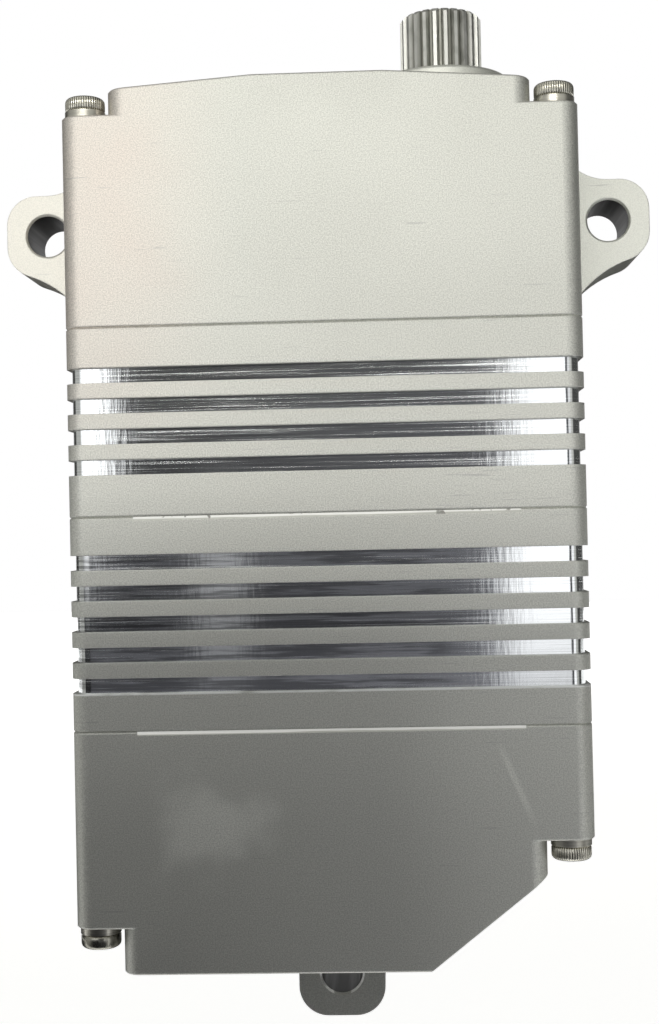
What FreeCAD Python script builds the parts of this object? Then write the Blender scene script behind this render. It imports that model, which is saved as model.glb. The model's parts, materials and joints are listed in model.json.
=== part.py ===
import FreeCAD
import Part
import math
import os

from FreeCAD import Placement, Rotation, Vector

# Brushless servo motor with a four-stage gear train, in a stacked milled case.
# The origin is on the output axis, level with the top of the output boss.
# +Z is the output axis, +X runs across the wide front face and -Y is the front.
# Lengths are in millimetres and angles in degrees.

# Fits and running clearances
press_gap = 0.01
running_gap = 0.03
axial_gap = 0.1
loose_gap = 0.3
overcut = 1.0

# Gear train: each stage is a pinion and a wheel
pressure_angle = 25.0
tooth_root_depth = 1.25
tooth_backlash = 0.1
motor_centre_distance = 16.0
gear_centre_distance = 17.5
stage_1_pinion_teeth = 12
stage_1_wheel_teeth = 52
stage_2_pinion_teeth = 16
stage_2_wheel_teeth = 54
stage_3_pinion_teeth = 18
stage_3_wheel_teeth = 52
stage_4_pinion_teeth = 13
stage_4_wheel_teeth = 37
stage_1_width = 3.5
stage_2_width = 4.0
stage_3_width = 5.0
stage_4_width = 8.5
washer_thickness = 0.3
floor_washer_thickness = 0.6
ceiling_washer_thickness = 1.1
gear_wall_gap = 0.5
hub_step = 0.25

# Output shaft, its bearings and its seal
spline_teeth = 24
spline_radius = 5.95
spline_tooth_depth = 0.75
spline_crest_width = 0.5
spline_valley_width = 0.3
spline_turn = 5.0
spline_height = 9.5
spline_chamfer = 0.5
shoulder_height = 0.6
journal_radius = 6.0
gear_seat_flat = 5.2
spigot_radius = 2.5
horn_hole_radius = 1.65
horn_hole_depth = 14.0
roller_radius = 1.25
roller_count = 12
bearing_cup_wall = 1.5
bearing_width = 7.0
bearing_web = 1.5
seal_radius = 8.5
seal_depth = 4.0
seal_recess = 0.3
boss_wall = 1.5
boss_height = 2.85
boss_chamfer = 0.4
bush_wall = 1.45
bush_neck_wall = 1.0
clip_thickness = 0.6
clip_groove_depth = 0.5
clip_radius = 4.2
clip_mouth = 3.0
spigot_tail = 2.7
magnet_radius = 3.0
magnet_height = 2.5

# Intermediate pin
pin_radius = 1.5
pin_seat_depth = 4.0
pin_washer_radius = 2.6

# Motor
motor_radius = 12.2
motor_length = 48.0
motor_wall_gap = 0.3
motor_tail_room = 3.5
can_wall = 0.8
flange_thickness = 4.0
flange_spigot = 1.5
motor_shaft_radius = 1.5
motor_shaft_end_room = 0.6
motor_bearing_radius = 4.0
motor_bearing_width = 3.0
bearing_ring_wall = 0.8
bearing_shield = 0.4
stator_slots = 9
stator_yoke = 1.8
stator_bore_radius = 6.5
stator_tooth_width = 2.2
stator_shoe_width = 3.6
stator_shoe_depth = 0.7
coil_thickness = 1.0
coil_overhang = 3.0
coil_end_room = 2.0
air_gap = 0.4
rotor_magnet_thickness = 1.5
rotor_poles = 4
rotor_pole_gap = 0.8
hall_board_thickness = 1.0
hall_board_bore = 4.4
motor_screw_circle = 8.0
motor_screw_depth = 3.0

# Case
wall = 3.4
side_wall = 7.4
corner_radius = 2.4
edge_break = 0.2
cavity_corner = 5.0
upper_case_height = 26.1
bottom_cover_height = 33.2
cover_floor = 3.0
cover_wall = 3.2
crown_flat = 18.0
crown_slope = 4.0
notch_width = 6.5
top_notch_height = 4.95
left_notch_height = 6.3
right_notch_height = 17.5
corner_cut_height = 12.7
corner_cut_width = 16.2
groove_depth = 0.7
groove_height = 2.08
groove_pitch = 4.22
groove_corner_radius = 2.1
upper_first_band = 5.55
lower_first_band = 5.2
last_band = 5.0
relief_width = 53.0
relief_height = 0.5
relief_depth = 0.2
seam_seal_width = 0.9
seam_seal_height = 0.8

# Mounting lugs, flush with the back face
lug_thickness = 12.5
lug_hole_radius = 3.1
lug_hole_chamfer = 0.3
side_lug_reach = 6.9
side_lug_drop = 16.95
side_lug_half_width = 6.2
side_lug_tip_radius = 4.5
side_lug_upper_rise = 5.2
side_lug_lower_drop = 15.4
side_lug_lower_radius = 16.0
bottom_lug_reach = 6.45
bottom_lug_half_width = 6.5
bottom_lug_end = 6.45
bottom_lug_tip_radius = 4.4
bottom_lug_root_radius = 4.0

# Gear plate and the posts that carry it
plate_thickness = 4.0
post_size = 4.6
post_height = 10.0
post_corner = 1.5
post_screw_inset = 2.9

# Case screws, M3 with spring lock washers
screw_inset = 3.1
screw_radius = 1.5
screw_hole_gap = 0.15
screw_head_radius = 2.75
screw_head_height = 2.0
screw_socket = 2.5
screw_socket_depth = 1.2
screw_thread_length = 9.0
screw_tap_room = 2.0
lock_washer_radius = 2.8
lock_washer_thickness = 1.0
lock_washer_slit = 0.5

# Small screws, M2
small_screw_radius = 0.95
small_hole_radius = 1.05
small_head_radius = 1.8
small_head_height = 1.3
small_screw_length = 6.0
small_tap_room = 0.5

# Boards and the parts on them
board_thickness = 1.6
board_edge_gap = 1.5
board_boss_radius = 2.0
board_boss_inset = 3.2
sensor_board_thickness = 1.2
sensor_board_width = 11.0
sensor_board_depth = 22.0
sensor_gap = 1.0
sensor_chip_size = 3.6
sensor_chip_height = 0.9
spacer_radius = 1.75
spacer_pitch = 16.0
spacer_stud = 2.5
power_board_standoff = 7.0
power_board_head_room = 6.0
transistor_length = 6.2
transistor_width = 5.2
transistor_height = 1.2
transistor_pitch = 7.6
spreader_height = 14.0
capacitor_radius = 4.0
capacitor_length = 12.0
capacitor_pitch = 9.0
control_board_standoff = 11.0
processor_size = 8.0
driver_size = 5.0
chip_height = 1.1
inductor_size = 6.5
inductor_height = 4.0

# Power and signal connector, flush in the cut corner
connector_depth = 20.0
connector_width = 7.0
connector_length = 8.0
connector_recess = 0.4
connector_wall = 0.8
connector_pocket = 3.0
connector_pins_per_row = 4
connector_pin_radius = 0.5
connector_pin_height = 2.2
connector_tail = 2.0
connector_pin_pitch = 4.0
connector_row_pitch = 2.6

# Gear sizes worked out from the centre distances
stage_1_module = 2 * motor_centre_distance / (stage_1_pinion_teeth + stage_1_wheel_teeth)
stage_2_module = 2 * gear_centre_distance / (stage_2_pinion_teeth + stage_2_wheel_teeth)
stage_3_module = 2 * gear_centre_distance / (stage_3_pinion_teeth + stage_3_wheel_teeth)
stage_4_module = 2 * gear_centre_distance / (stage_4_pinion_teeth + stage_4_wheel_teeth)
pin_x = -gear_centre_distance
motor_x = pin_x - motor_centre_distance
stage_gap = washer_thickness + 2 * axial_gap
floor_gap = floor_washer_thickness + 2 * axial_gap
ceiling_gap = ceiling_washer_thickness + 2 * axial_gap

# Plan of the case: its walls stand off the gears and the motor
widest_gear = max(
    stage_1_module * (stage_1_wheel_teeth / 2 + 1),
    stage_2_module * (stage_2_wheel_teeth / 2 + 1),
    stage_3_module * (stage_3_wheel_teeth / 2 + 1),
    stage_4_module * (stage_4_wheel_teeth / 2 + 1),
)
cavity_half_depth = max(widest_gear + gear_wall_gap, motor_radius + motor_wall_gap)
half_depth = cavity_half_depth + wall
case_right = cavity_half_depth + wall
case_left = motor_x - motor_radius - motor_wall_gap - side_wall
case_centre = (case_left + case_right) / 2
cavity_left = case_left + side_wall
cavity_right = case_right - side_wall
lug_front = half_depth - lug_thickness
screw_y = half_depth - screw_inset
screw_left = case_left + screw_inset
screw_right = case_right - screw_inset

# Levels from the top of the boss down
boss_top = 0.0
case_top = boss_top - boss_height
bearing_top = boss_top - seal_depth - bearing_web
ceiling = bearing_top - bearing_width
stage_4_top = ceiling - ceiling_gap
stage_4_bottom = stage_4_top - stage_4_width
stage_3_top = stage_4_bottom - stage_gap
stage_3_bottom = stage_3_top - stage_3_width
stage_2_top = stage_3_bottom - stage_gap
stage_2_bottom = stage_2_top - stage_2_width
stage_1_top = stage_2_bottom - stage_gap
stage_1_bottom = stage_1_top - stage_1_width
seam_1 = stage_1_bottom - floor_gap
plate_bottom = seam_1 - plate_thickness
motor_bottom = plate_bottom - motor_length
seam_2 = seam_1 - upper_case_height
seam_3 = motor_bottom - motor_tail_room
case_bottom = seam_3 - bottom_cover_height
top_ledge = case_top - top_notch_height
left_ledge = case_bottom + left_notch_height
right_ledge = case_bottom + right_notch_height
side_lug_z = case_top - side_lug_drop
bottom_lug_z = case_bottom - bottom_lug_reach
case_mirror = Vector(case_centre, 0, 0)


def cylinder(radius, z_low, z_high, x=0.0, y=0.0):
    return Part.makeCylinder(radius, z_high - z_low, Vector(x, y, z_low))


def ring(outer, inner, z_low, z_high, x=0.0, y=0.0):
    return cylinder(outer, z_low, z_high, x, y).cut(cylinder(inner, z_low, z_high, x, y))


def rod(radius, x, z, y_low, y_high):
    """Round bar from front to back."""
    return Part.makeCylinder(radius, y_high - y_low, Vector(x, y_low, z), Vector(0, 1, 0))


def block(x_low, x_high, y_low, y_high, z_low, z_high):
    size = (x_high - x_low, y_high - y_low, z_high - z_low)
    return Part.makeBox(*size, Vector(x_low, y_low, z_low))


def rounded_block(x_low, x_high, half_y, radius, z_low, z_high):
    """Upright block with its four upright edges rounded."""
    plain = block(x_low, x_high, -half_y, half_y, z_low, z_high)
    uprights = [edge for edge in plain.Edges if edge.tangentAt(0).isEqual(Vector(0, 0, 1), 1e-6)
                or edge.tangentAt(0).isEqual(Vector(0, 0, -1), 1e-6)]
    return plain.makeFillet(radius, uprights)


def fused(shapes):
    return shapes[0].multiFuse(shapes[1:]).removeSplitter()


def mirrored(shape):
    """The shape's mirror image across the middle of the case."""
    return shape.mirror(case_mirror, Vector(1, 0, 0))


def front_point(x, z):
    return Vector(x, 0, z)


def arc_about(centre, start, end):
    """The shorter arc from start to end about centre."""
    middle = (start - centre) + (end - centre)
    middle.normalize()
    return Part.Arc(start, centre + middle * (start - centre).Length, end).toShape()


def front_prism(edges, y_low, y_high):
    """Solid drawn as an outline in the front view and run from front to back."""
    face = Part.Face(Part.Wire(edges))
    face.translate(Vector(0, y_low, 0))
    return face.extrude(Vector(0, y_high - y_low, 0))


def front_polygon(points, y_low, y_high):
    outline = Part.makePolygon(points + points[:1])
    return front_prism(outline.Edges, y_low, y_high)


def polar(radius, angle):
    return Vector(radius * math.cos(angle), radius * math.sin(angle), 0)


def involute(angle):
    return math.tan(angle) - angle


def gear(teeth, module, z_low, z_high, x, tooth_direction):
    """Spur gear with one tooth centred on tooth_direction; its flanks follow the involute."""
    contact = math.radians(pressure_angle)
    pitch = module * teeth / 2
    base = pitch * math.cos(contact)
    tip = pitch + module
    root = pitch - tooth_root_depth * module
    flank_foot = max(base, root)
    pitch_half = math.pi / (2 * teeth) - tooth_backlash / (4 * pitch)

    def half_angle(radius):
        return pitch_half + involute(contact) - involute(math.acos(min(1.0, base / radius)))

    radii = [flank_foot, (flank_foot + tip) / 2, tip]
    edges = []
    for number in range(teeth):
        middle = math.radians(tooth_direction) + 2 * math.pi * number / teeth
        rising = [polar(radius, middle - half_angle(radius)) for radius in radii]
        falling = [polar(radius, middle + half_angle(radius)) for radius in reversed(radii)]
        foot = half_angle(flank_foot)
        foot_in = polar(root, middle - foot)
        foot_out = polar(root, middle + foot)
        next_foot = polar(root, middle + 2 * math.pi / teeth - foot)
        if base > root:
            edges.append(Part.makeLine(foot_in, rising[0]))
        edges.append(Part.Arc(*rising).toShape())
        edges.append(Part.makeLine(rising[2], falling[0]))
        edges.append(Part.Arc(*falling).toShape())
        if base > root:
            edges.append(Part.makeLine(falling[2], foot_out))
        edges.append(Part.makeLine(foot_out, next_foot))
    solid = Part.Face(Part.Wire(edges)).extrude(Vector(0, 0, z_high - z_low))
    solid.translate(Vector(x, 0, z_low))
    return solid


def splined_bar(z_low, z_high):
    """Serrated drive end: straight-sided teeth with flat crests."""
    step = 2 * math.pi / spline_teeth
    root = spline_radius - spline_tooth_depth
    crest_half = spline_crest_width / (2 * spline_radius)
    foot_half = step / 2 - spline_valley_width / (2 * root)
    points = []
    for number in range(spline_teeth):
        middle = math.radians(spline_turn) + number * step
        points.append(polar(root, middle - foot_half))
        points.append(polar(spline_radius, middle - crest_half))
        points.append(polar(spline_radius, middle + crest_half))
        points.append(polar(root, middle + foot_half))
    bar = Part.Face(Part.makePolygon(points + points[:1])).extrude(Vector(0, 0, z_high - z_low))
    bar.translate(Vector(0, 0, z_low))
    lead_in = Part.makeCone(spline_radius, spline_radius - spline_chamfer, spline_chamfer,
                            Vector(0, 0, z_high - spline_chamfer))
    envelope = fused([cylinder(spline_radius, z_low, z_high - spline_chamfer), lead_in])
    return bar.common(envelope)


def double_d(radius, half_flat, z_low, z_high):
    """Round bar with two flats, front and back."""
    return cylinder(radius, z_low, z_high).common(
        block(-radius, radius, -half_flat, half_flat, z_low, z_high))


def cap_screw(radius, length, head_radius, head_height):
    """Socket screw hanging from the origin: its shank runs down and its head stands up."""
    across_corners = screw_socket * radius / screw_radius / math.cos(math.radians(30))
    socket_points = [polar(across_corners / 2, math.radians(60 * corner)) for corner in range(7)]
    depth = screw_socket_depth * head_height / screw_head_height
    socket = Part.Face(Part.makePolygon(socket_points)).extrude(Vector(0, 0, depth))
    socket.translate(Vector(0, 0, head_height - depth))
    return fused([cylinder(radius, -length, 0), cylinder(head_radius, 0, head_height)]).cut(socket)


def placed(shape, position, rotation=Rotation()):
    copy = shape.copy()
    copy.Placement = Placement(position, rotation).multiply(copy.Placement)
    return copy


head_down = Rotation(Vector(1, 0, 0), 180)
head_front = Rotation(Vector(1, 0, 0), 90)
case_screw_places = [(x, y) for x in (screw_left, screw_right) for y in (-screw_y, screw_y)]
screw_hole_radius = screw_radius + screw_hole_gap
tap_radius = screw_radius + press_gap
tap_depth = screw_thread_length + screw_tap_room


def case_cavity(z_low, z_high):
    return rounded_block(cavity_left, cavity_right, cavity_half_depth, cavity_corner, z_low, z_high)


def rim_edges(shape, z_low, z_high):
    """Edges that lie flat in the plane at z_low or at z_high."""
    def lies_at(edge, level):
        return abs(edge.BoundBox.ZMin - level) < 1e-6 and abs(edge.BoundBox.ZMax - level) < 1e-6

    return [edge for edge in shape.Edges if lies_at(edge, z_low) or lies_at(edge, z_high)]


def case_block(x_low, x_high, z_low, z_high):
    """Shell block with rounded upright corners and a broken edge round its top and bottom."""
    shape = rounded_block(x_low, x_high, half_depth, corner_radius, z_low, z_high)
    return shape.makeChamfer(edge_break, rim_edges(shape, z_low, z_high))


def seam_seal(seam):
    """Rubber ring in a rebate round the cavity, level with the seam."""
    outer = rounded_block(cavity_left - seam_seal_width, cavity_right + seam_seal_width,
                          cavity_half_depth + seam_seal_width, cavity_corner + seam_seal_width,
                          seam - seam_seal_height, seam)
    return outer.cut(case_cavity(seam - seam_seal_height, seam))


def relief_bevels(seam):
    """Slanted cuts along the top edge of the shell below a seam, where the case is prised open."""
    left = case_centre - relief_width / 2
    lean = relief_depth / relief_height
    outside = -half_depth - overcut
    above = seam + overcut
    corners = [
        Vector(left, outside, above), Vector(left, outside, seam - relief_height - overcut / lean),
        Vector(left, -half_depth + relief_depth + overcut * lean, above),
    ]
    front = Part.Face(Part.makePolygon(corners + corners[:1])).extrude(Vector(relief_width, 0, 0))
    return [front, front.mirror(Vector(), Vector(0, 1, 0))]


def cooling_grooves(top, bottom, first_band):
    """Rings milled round a case; what stays between them are the fins."""
    room = top - bottom - first_band - groove_height - last_band
    count = int(room / groove_pitch) + 1
    rings = []
    for number in range(count):
        high = top - first_band - number * groove_pitch
        low = high - groove_height
        outside = block(case_left - overcut, case_right + overcut, -half_depth - overcut,
                        half_depth + overcut, low, high)
        floor = rounded_block(case_left + groove_depth, case_right - groove_depth,
                              half_depth - groove_depth, groove_corner_radius, low, high)
        rings.append(outside.cut(floor))
    return rings


def lug_hole(x, z):
    """Bolt hole from front to back with a small chamfer at each mouth."""
    mouth = lug_hole_radius + lug_hole_chamfer
    front = Part.makeCone(mouth, lug_hole_radius, lug_hole_chamfer, Vector(x, lug_front, z), Vector(0, 1, 0))
    back = Part.makeCone(mouth, lug_hole_radius, lug_hole_chamfer, Vector(x, half_depth, z), Vector(0, -1, 0))
    return [rod(lug_hole_radius, x, z, lug_front - overcut, half_depth + overcut), front, back]


def side_lug():
    """Right-hand lug: a rounded tip, a small root curve above and a long gusset below."""
    hole_x = case_right + side_lug_reach
    tip_x = hole_x + side_lug_half_width
    top_z = side_lug_z + side_lug_half_width
    inset = side_lug_half_width - side_lug_tip_radius
    upper_tip = front_point(hole_x + inset, side_lug_z + inset)
    lower_tip = front_point(hole_x + inset, side_lug_z - inset)
    upper_wall = front_point(case_right, top_z + side_lug_upper_rise)
    lower_wall = front_point(case_right, side_lug_z - side_lug_lower_drop)
    inner_x = case_right - side_wall / 2
    upper_radius = (side_lug_reach ** 2 + side_lug_upper_rise ** 2) / (2 * side_lug_upper_rise)
    upper_centre = front_point(hole_x, top_z + upper_radius)
    # The gusset's circle passes through the wall point and touches the lower tip circle
    reach = lower_tip - lower_wall
    span = reach.Length
    touching = side_lug_lower_radius + side_lug_tip_radius
    along = (side_lug_lower_radius ** 2 - touching ** 2 + span ** 2) / (2 * span)
    across = math.sqrt(side_lug_lower_radius ** 2 - along ** 2)
    reach.normalize()
    lower_centre = lower_wall + reach * along + Vector(reach.z, 0, -reach.x) * across
    touch = lower_centre + (lower_tip - lower_centre) * (side_lug_lower_radius / touching)
    tip_low = front_point(tip_x, lower_tip.z)
    tip_high = front_point(tip_x, upper_tip.z)
    edge_end = front_point(upper_tip.x, top_z)
    edge_start = front_point(hole_x, top_z)
    inner_low = front_point(inner_x, lower_wall.z)
    inner_high = front_point(inner_x, upper_wall.z)
    outline = [
        Part.makeLine(inner_low, lower_wall),
        arc_about(lower_centre, lower_wall, touch),
        arc_about(lower_tip, touch, tip_low),
        Part.makeLine(tip_low, tip_high),
        arc_about(upper_tip, tip_high, edge_end),
        Part.makeLine(edge_end, edge_start),
        arc_about(upper_centre, edge_start, upper_wall),
        Part.makeLine(upper_wall, inner_high),
        Part.makeLine(inner_high, inner_low),
    ]
    return front_prism(outline, lug_front, half_depth)


def bottom_lug():
    """Lug under the bottom cover, with a square root curve each side and a flat end."""
    left = case_centre - bottom_lug_half_width
    right = case_centre + bottom_lug_half_width
    end = bottom_lug_z - bottom_lug_end
    tip = bottom_lug_tip_radius
    root = bottom_lug_root_radius
    inner = case_bottom + cover_floor / 2
    points = [
        front_point(left - root, inner), front_point(left - root, case_bottom),
        front_point(left, case_bottom - root), front_point(left, end + tip),
        front_point(left + tip, end), front_point(right - tip, end),
        front_point(right, end + tip), front_point(right, case_bottom - root),
        front_point(right + root, case_bottom), front_point(right + root, inner),
    ]
    outline = [
        Part.makeLine(points[0], points[1]),
        arc_about(front_point(left - root, case_bottom - root), points[1], points[2]),
        Part.makeLine(points[2], points[3]),
        arc_about(front_point(left + tip, end + tip), points[3], points[4]),
        Part.makeLine(points[4], points[5]),
        arc_about(front_point(right - tip, end + tip), points[5], points[6]),
        Part.makeLine(points[6], points[7]),
        arc_about(front_point(right + root, case_bottom - root), points[7], points[8]),
        Part.makeLine(points[8], points[9]),
        Part.makeLine(points[9], points[0]),
    ]
    return front_prism(outline, lug_front, half_depth)


def roof_edges(shape):
    """The outer edges of the faces that look up."""
    roofs = [face for face in shape.Faces if face.normalAt(0, 0).z > 0.9]
    edges = [edge for face in roofs for edge in face.Edges]
    return [edge for edge in edges if sum(edge.isSame(other) for other in edges) == 1]


def make_gear_case():
    """Top shell: output boss, bearing seat, crowned roof, corner notches and the side lugs."""
    shoulder = case_block(case_left, case_right, seam_1, top_ledge)
    head = rounded_block(case_left + notch_width, case_right - notch_width, half_depth, corner_radius,
                         seam_1 + edge_break, case_top)
    lug = side_lug()
    boss = cylinder(seal_radius + boss_wall, ceiling, boss_top - boss_chamfer)
    rim = Part.makeCone(seal_radius + boss_wall, seal_radius + boss_wall - boss_chamfer, boss_chamfer,
                        Vector(0, 0, boss_top - boss_chamfer))
    crown_start = case_centre + crown_flat / 2
    fall = (case_right - crown_start) * math.tan(math.radians(crown_slope))
    slope = front_polygon([
        front_point(crown_start, case_top), front_point(case_right, case_top - fall),
        front_point(case_right, case_top + overcut), front_point(crown_start, case_top + overcut),
    ], -half_depth, half_depth)
    head = head.cut([slope, mirrored(slope)])
    head = head.makeChamfer(edge_break, roof_edges(head))
    shell = fused([shoulder, head, lug, mirrored(lug), boss, rim])
    cup_radius = journal_radius + 2 * roller_radius + bearing_cup_wall
    holes = [
        case_cavity(seam_1 - overcut, ceiling),
        cylinder(cavity_half_depth, seam_1 - overcut, ceiling),
        cylinder(cup_radius + press_gap, ceiling - overcut, bearing_top),
        cylinder(journal_radius + loose_gap, bearing_top - overcut, boss_top),
        cylinder(seal_radius, boss_top - seal_depth, boss_top + overcut),
        cylinder(pin_radius + press_gap, ceiling - overcut, ceiling + pin_seat_depth, pin_x),
    ]
    holes += [cylinder(screw_hole_radius, seam_1 - overcut, top_ledge + overcut, x, y)
              for x, y in case_screw_places]
    holes += lug_hole(case_right + side_lug_reach, side_lug_z)
    holes += lug_hole(case_left - side_lug_reach, side_lug_z)
    return shell.cut(holes)


def corner_posts():
    """Posts in the cavity corners that carry the gear plate; only their inner quarter shows."""
    post = rounded_block(-post_size, post_size, post_size, post_corner, plate_bottom - post_height,
                         plate_bottom)
    return [placed(post, Vector(x, y, 0)) for x in (cavity_left, cavity_right)
            for y in (-cavity_half_depth, cavity_half_depth)]


plate_screw_places = [
    (x, y)
    for x in (cavity_left + post_screw_inset, cavity_right - post_screw_inset)
    for y in (post_screw_inset - cavity_half_depth, cavity_half_depth - post_screw_inset)
]
plate_screw_reach = plate_thickness + small_screw_length


def make_upper_finned_case():
    shell = case_block(case_left, case_right, seam_2, seam_1)
    cavity = case_cavity(seam_2 - overcut, seam_1 + overcut).cut(corner_posts())
    holes = [cavity, seam_seal(seam_1)]
    holes += cooling_grooves(seam_1, seam_2, upper_first_band)
    holes += [cylinder(screw_hole_radius, seam_2 - overcut, seam_1 + overcut, x, y)
              for x, y in case_screw_places]
    holes += [cylinder(small_screw_radius + press_gap, seam_1 - plate_screw_reach - small_tap_room,
                       plate_bottom + overcut, x, y) for x, y in plate_screw_places]
    return shell.cut(holes)


power_left = motor_x + motor_radius + board_edge_gap
power_right = cavity_right - board_edge_gap
power_back = cavity_half_depth - power_board_standoff
power_front = power_back - board_thickness
power_bottom = seam_3 + board_edge_gap
magnet_top = plate_bottom - spigot_tail
magnet_bottom = magnet_top - magnet_height
sensor_board_top = magnet_bottom - sensor_gap - sensor_chip_height
sensor_board_bottom = sensor_board_top - sensor_board_thickness
power_top = sensor_board_bottom - power_board_head_room
power_boss_places = [
    (x, z)
    for x in (power_left + board_boss_inset, power_right - board_boss_inset)
    for z in (power_bottom + board_boss_inset, seam_2 - board_boss_inset)
]
cut_foot_x = case_right - notch_width - corner_cut_width
control_left = case_left + notch_width + cover_wall + board_edge_gap
control_right = cut_foot_x - cover_wall - board_edge_gap
control_back = cavity_half_depth - control_board_standoff
control_front = control_back - board_thickness
control_bottom = case_bottom + cover_floor + board_edge_gap
control_top = seam_3 - board_edge_gap
control_boss_places = [
    (x, z)
    for x in (control_left + board_boss_inset, control_right - board_boss_inset)
    for z in (control_bottom + board_boss_inset, control_top - board_boss_inset)
]


def board_bosses(places, board_back):
    """Tapped bosses on the back wall that carry a board, and their holes."""
    bosses = [rod(board_boss_radius, x, z, board_back, cavity_half_depth + wall / 2) for x, z in places]
    depth = small_screw_length - board_thickness + small_tap_room
    taps = [rod(small_screw_radius + press_gap, x, z, board_back - overcut, board_back + depth)
            for x, z in places]
    return bosses, taps


def make_lower_finned_case():
    shell = case_block(case_left, case_right, seam_3, seam_2)
    holes = [case_cavity(seam_3 - overcut, seam_2 + overcut), seam_seal(seam_2)]
    holes += cooling_grooves(seam_2, seam_3, lower_first_band)
    holes += relief_bevels(seam_2)
    for x, y in case_screw_places:
        holes.append(cylinder(tap_radius, seam_2 - tap_depth, seam_2 + overcut, x, y))
        holes.append(cylinder(tap_radius, seam_3 - overcut, seam_3 + tap_depth, x, y))
    bosses, taps = board_bosses(power_boss_places, power_back)
    return fused([shell.cut(holes)] + bosses).cut(taps)


cut_angle = math.atan2(corner_cut_height, corner_cut_width)
cut_middle = Vector(cut_foot_x + corner_cut_width / 2, 0, case_bottom + corner_cut_height / 2)
# In the cut corner's own axes, Z points out of the slanted face and Y runs front to back
cut_rotation = Rotation(Vector(0, 1, 0), 180 - math.degrees(cut_angle))


def slanted_block(x_size, y_size, z_low, z_high):
    shape = block(-x_size / 2, x_size / 2, -y_size / 2, y_size / 2, z_low, z_high)
    return placed(shape, cut_middle, cut_rotation)


def make_bottom_cover():
    """Bottom shell: two corner notches of different height, a cut corner and the bottom lug."""
    notch_left = case_left + notch_width
    notch_right = case_right - notch_width
    shell = fused([
        case_block(case_left, case_right, right_ledge, seam_3),
        case_block(case_left, notch_right, left_ledge, seam_3),
        case_block(notch_left, notch_right, case_bottom, seam_3),
    ])
    cut_corner = front_polygon([
        front_point(cut_foot_x, case_bottom), front_point(notch_right, case_bottom + corner_cut_height),
        front_point(case_right, case_bottom + corner_cut_height),
        front_point(case_right, case_bottom - overcut), front_point(cut_foot_x, case_bottom - overcut),
    ], -half_depth, half_depth)
    shell = fused([shell.cut(cut_corner), bottom_lug()])
    floor = case_bottom + cover_floor
    inner_left = notch_left + cover_wall
    inner_right = notch_right - cover_wall
    # The inside face of the cut corner stands one wall thickness behind the outside
    inner_foot_x = cut_foot_x - (cover_wall / math.sin(cut_angle)) + cover_floor / math.tan(cut_angle)
    inner_knee_z = floor + (inner_right - inner_foot_x) * math.tan(cut_angle)
    cavity = front_polygon([
        front_point(inner_left, floor), front_point(inner_foot_x, floor),
        front_point(inner_right, inner_knee_z), front_point(inner_right, seam_3 + overcut),
        front_point(inner_left, seam_3 + overcut),
    ], -cavity_half_depth, cavity_half_depth)
    socket = slanted_block(connector_width + 2 * press_gap, connector_depth + 2 * press_gap,
                           -connector_length, overcut)
    holes = [cavity, seam_seal(seam_3), socket]
    holes += relief_bevels(seam_3)
    holes += [cylinder(screw_hole_radius, case_bottom - overcut, seam_3 + overcut, x, y)
              for x, y in case_screw_places]
    holes += lug_hole(case_centre, bottom_lug_z)
    bosses, taps = board_bosses(control_boss_places, control_back)
    return fused([shell.cut(holes)] + bosses).cut(taps)


def make_case_seals():
    return [seam_seal(seam) for seam in (seam_1, seam_2, seam_3)]


def make_top_case_screws():
    seat = top_ledge + lock_washer_thickness
    length = seat - seam_2 + screw_thread_length
    screw = cap_screw(screw_radius, length, screw_head_radius, screw_head_height)
    return [placed(screw, Vector(x, y, seat)) for x, y in case_screw_places]


def bottom_ledge(x):
    return left_ledge if x == screw_left else right_ledge


def make_bottom_case_screws():
    screws = []
    for x, y in case_screw_places:
        seat = bottom_ledge(x) - lock_washer_thickness
        length = seam_3 + screw_thread_length - seat
        screw = cap_screw(screw_radius, length, screw_head_radius, screw_head_height)
        screws.append(placed(screw, Vector(x, y, seat), head_down))
    return screws


def make_lock_washers():
    """Split spring washers, their slits turned towards the outside of the case."""
    washers = []
    inner = screw_hole_radius
    for x, y in case_screw_places:
        outward = -1 if x == screw_left else 1
        x_low = x if outward > 0 else x - lock_washer_radius - overcut
        for low in (top_ledge, bottom_ledge(x) - lock_washer_thickness):
            high = low + lock_washer_thickness
            slit = block(x_low, x_low + lock_washer_radius + overcut, y - lock_washer_slit / 2,
                         y + lock_washer_slit / 2, low, high)
            washers.append(ring(lock_washer_radius, inner, low, high, x, y).cut(slit))
    return washers


motor_screw_places = [
    (motor_x + motor_screw_circle * math.cos(math.radians(turn)),
     motor_screw_circle * math.sin(math.radians(turn)))
    for turn in (45, 135, 225, 315)
]
bush_radius = spigot_radius + running_gap + bush_wall
spacer_places = [(0, -spacer_pitch / 2), (0, spacer_pitch / 2)]


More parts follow.
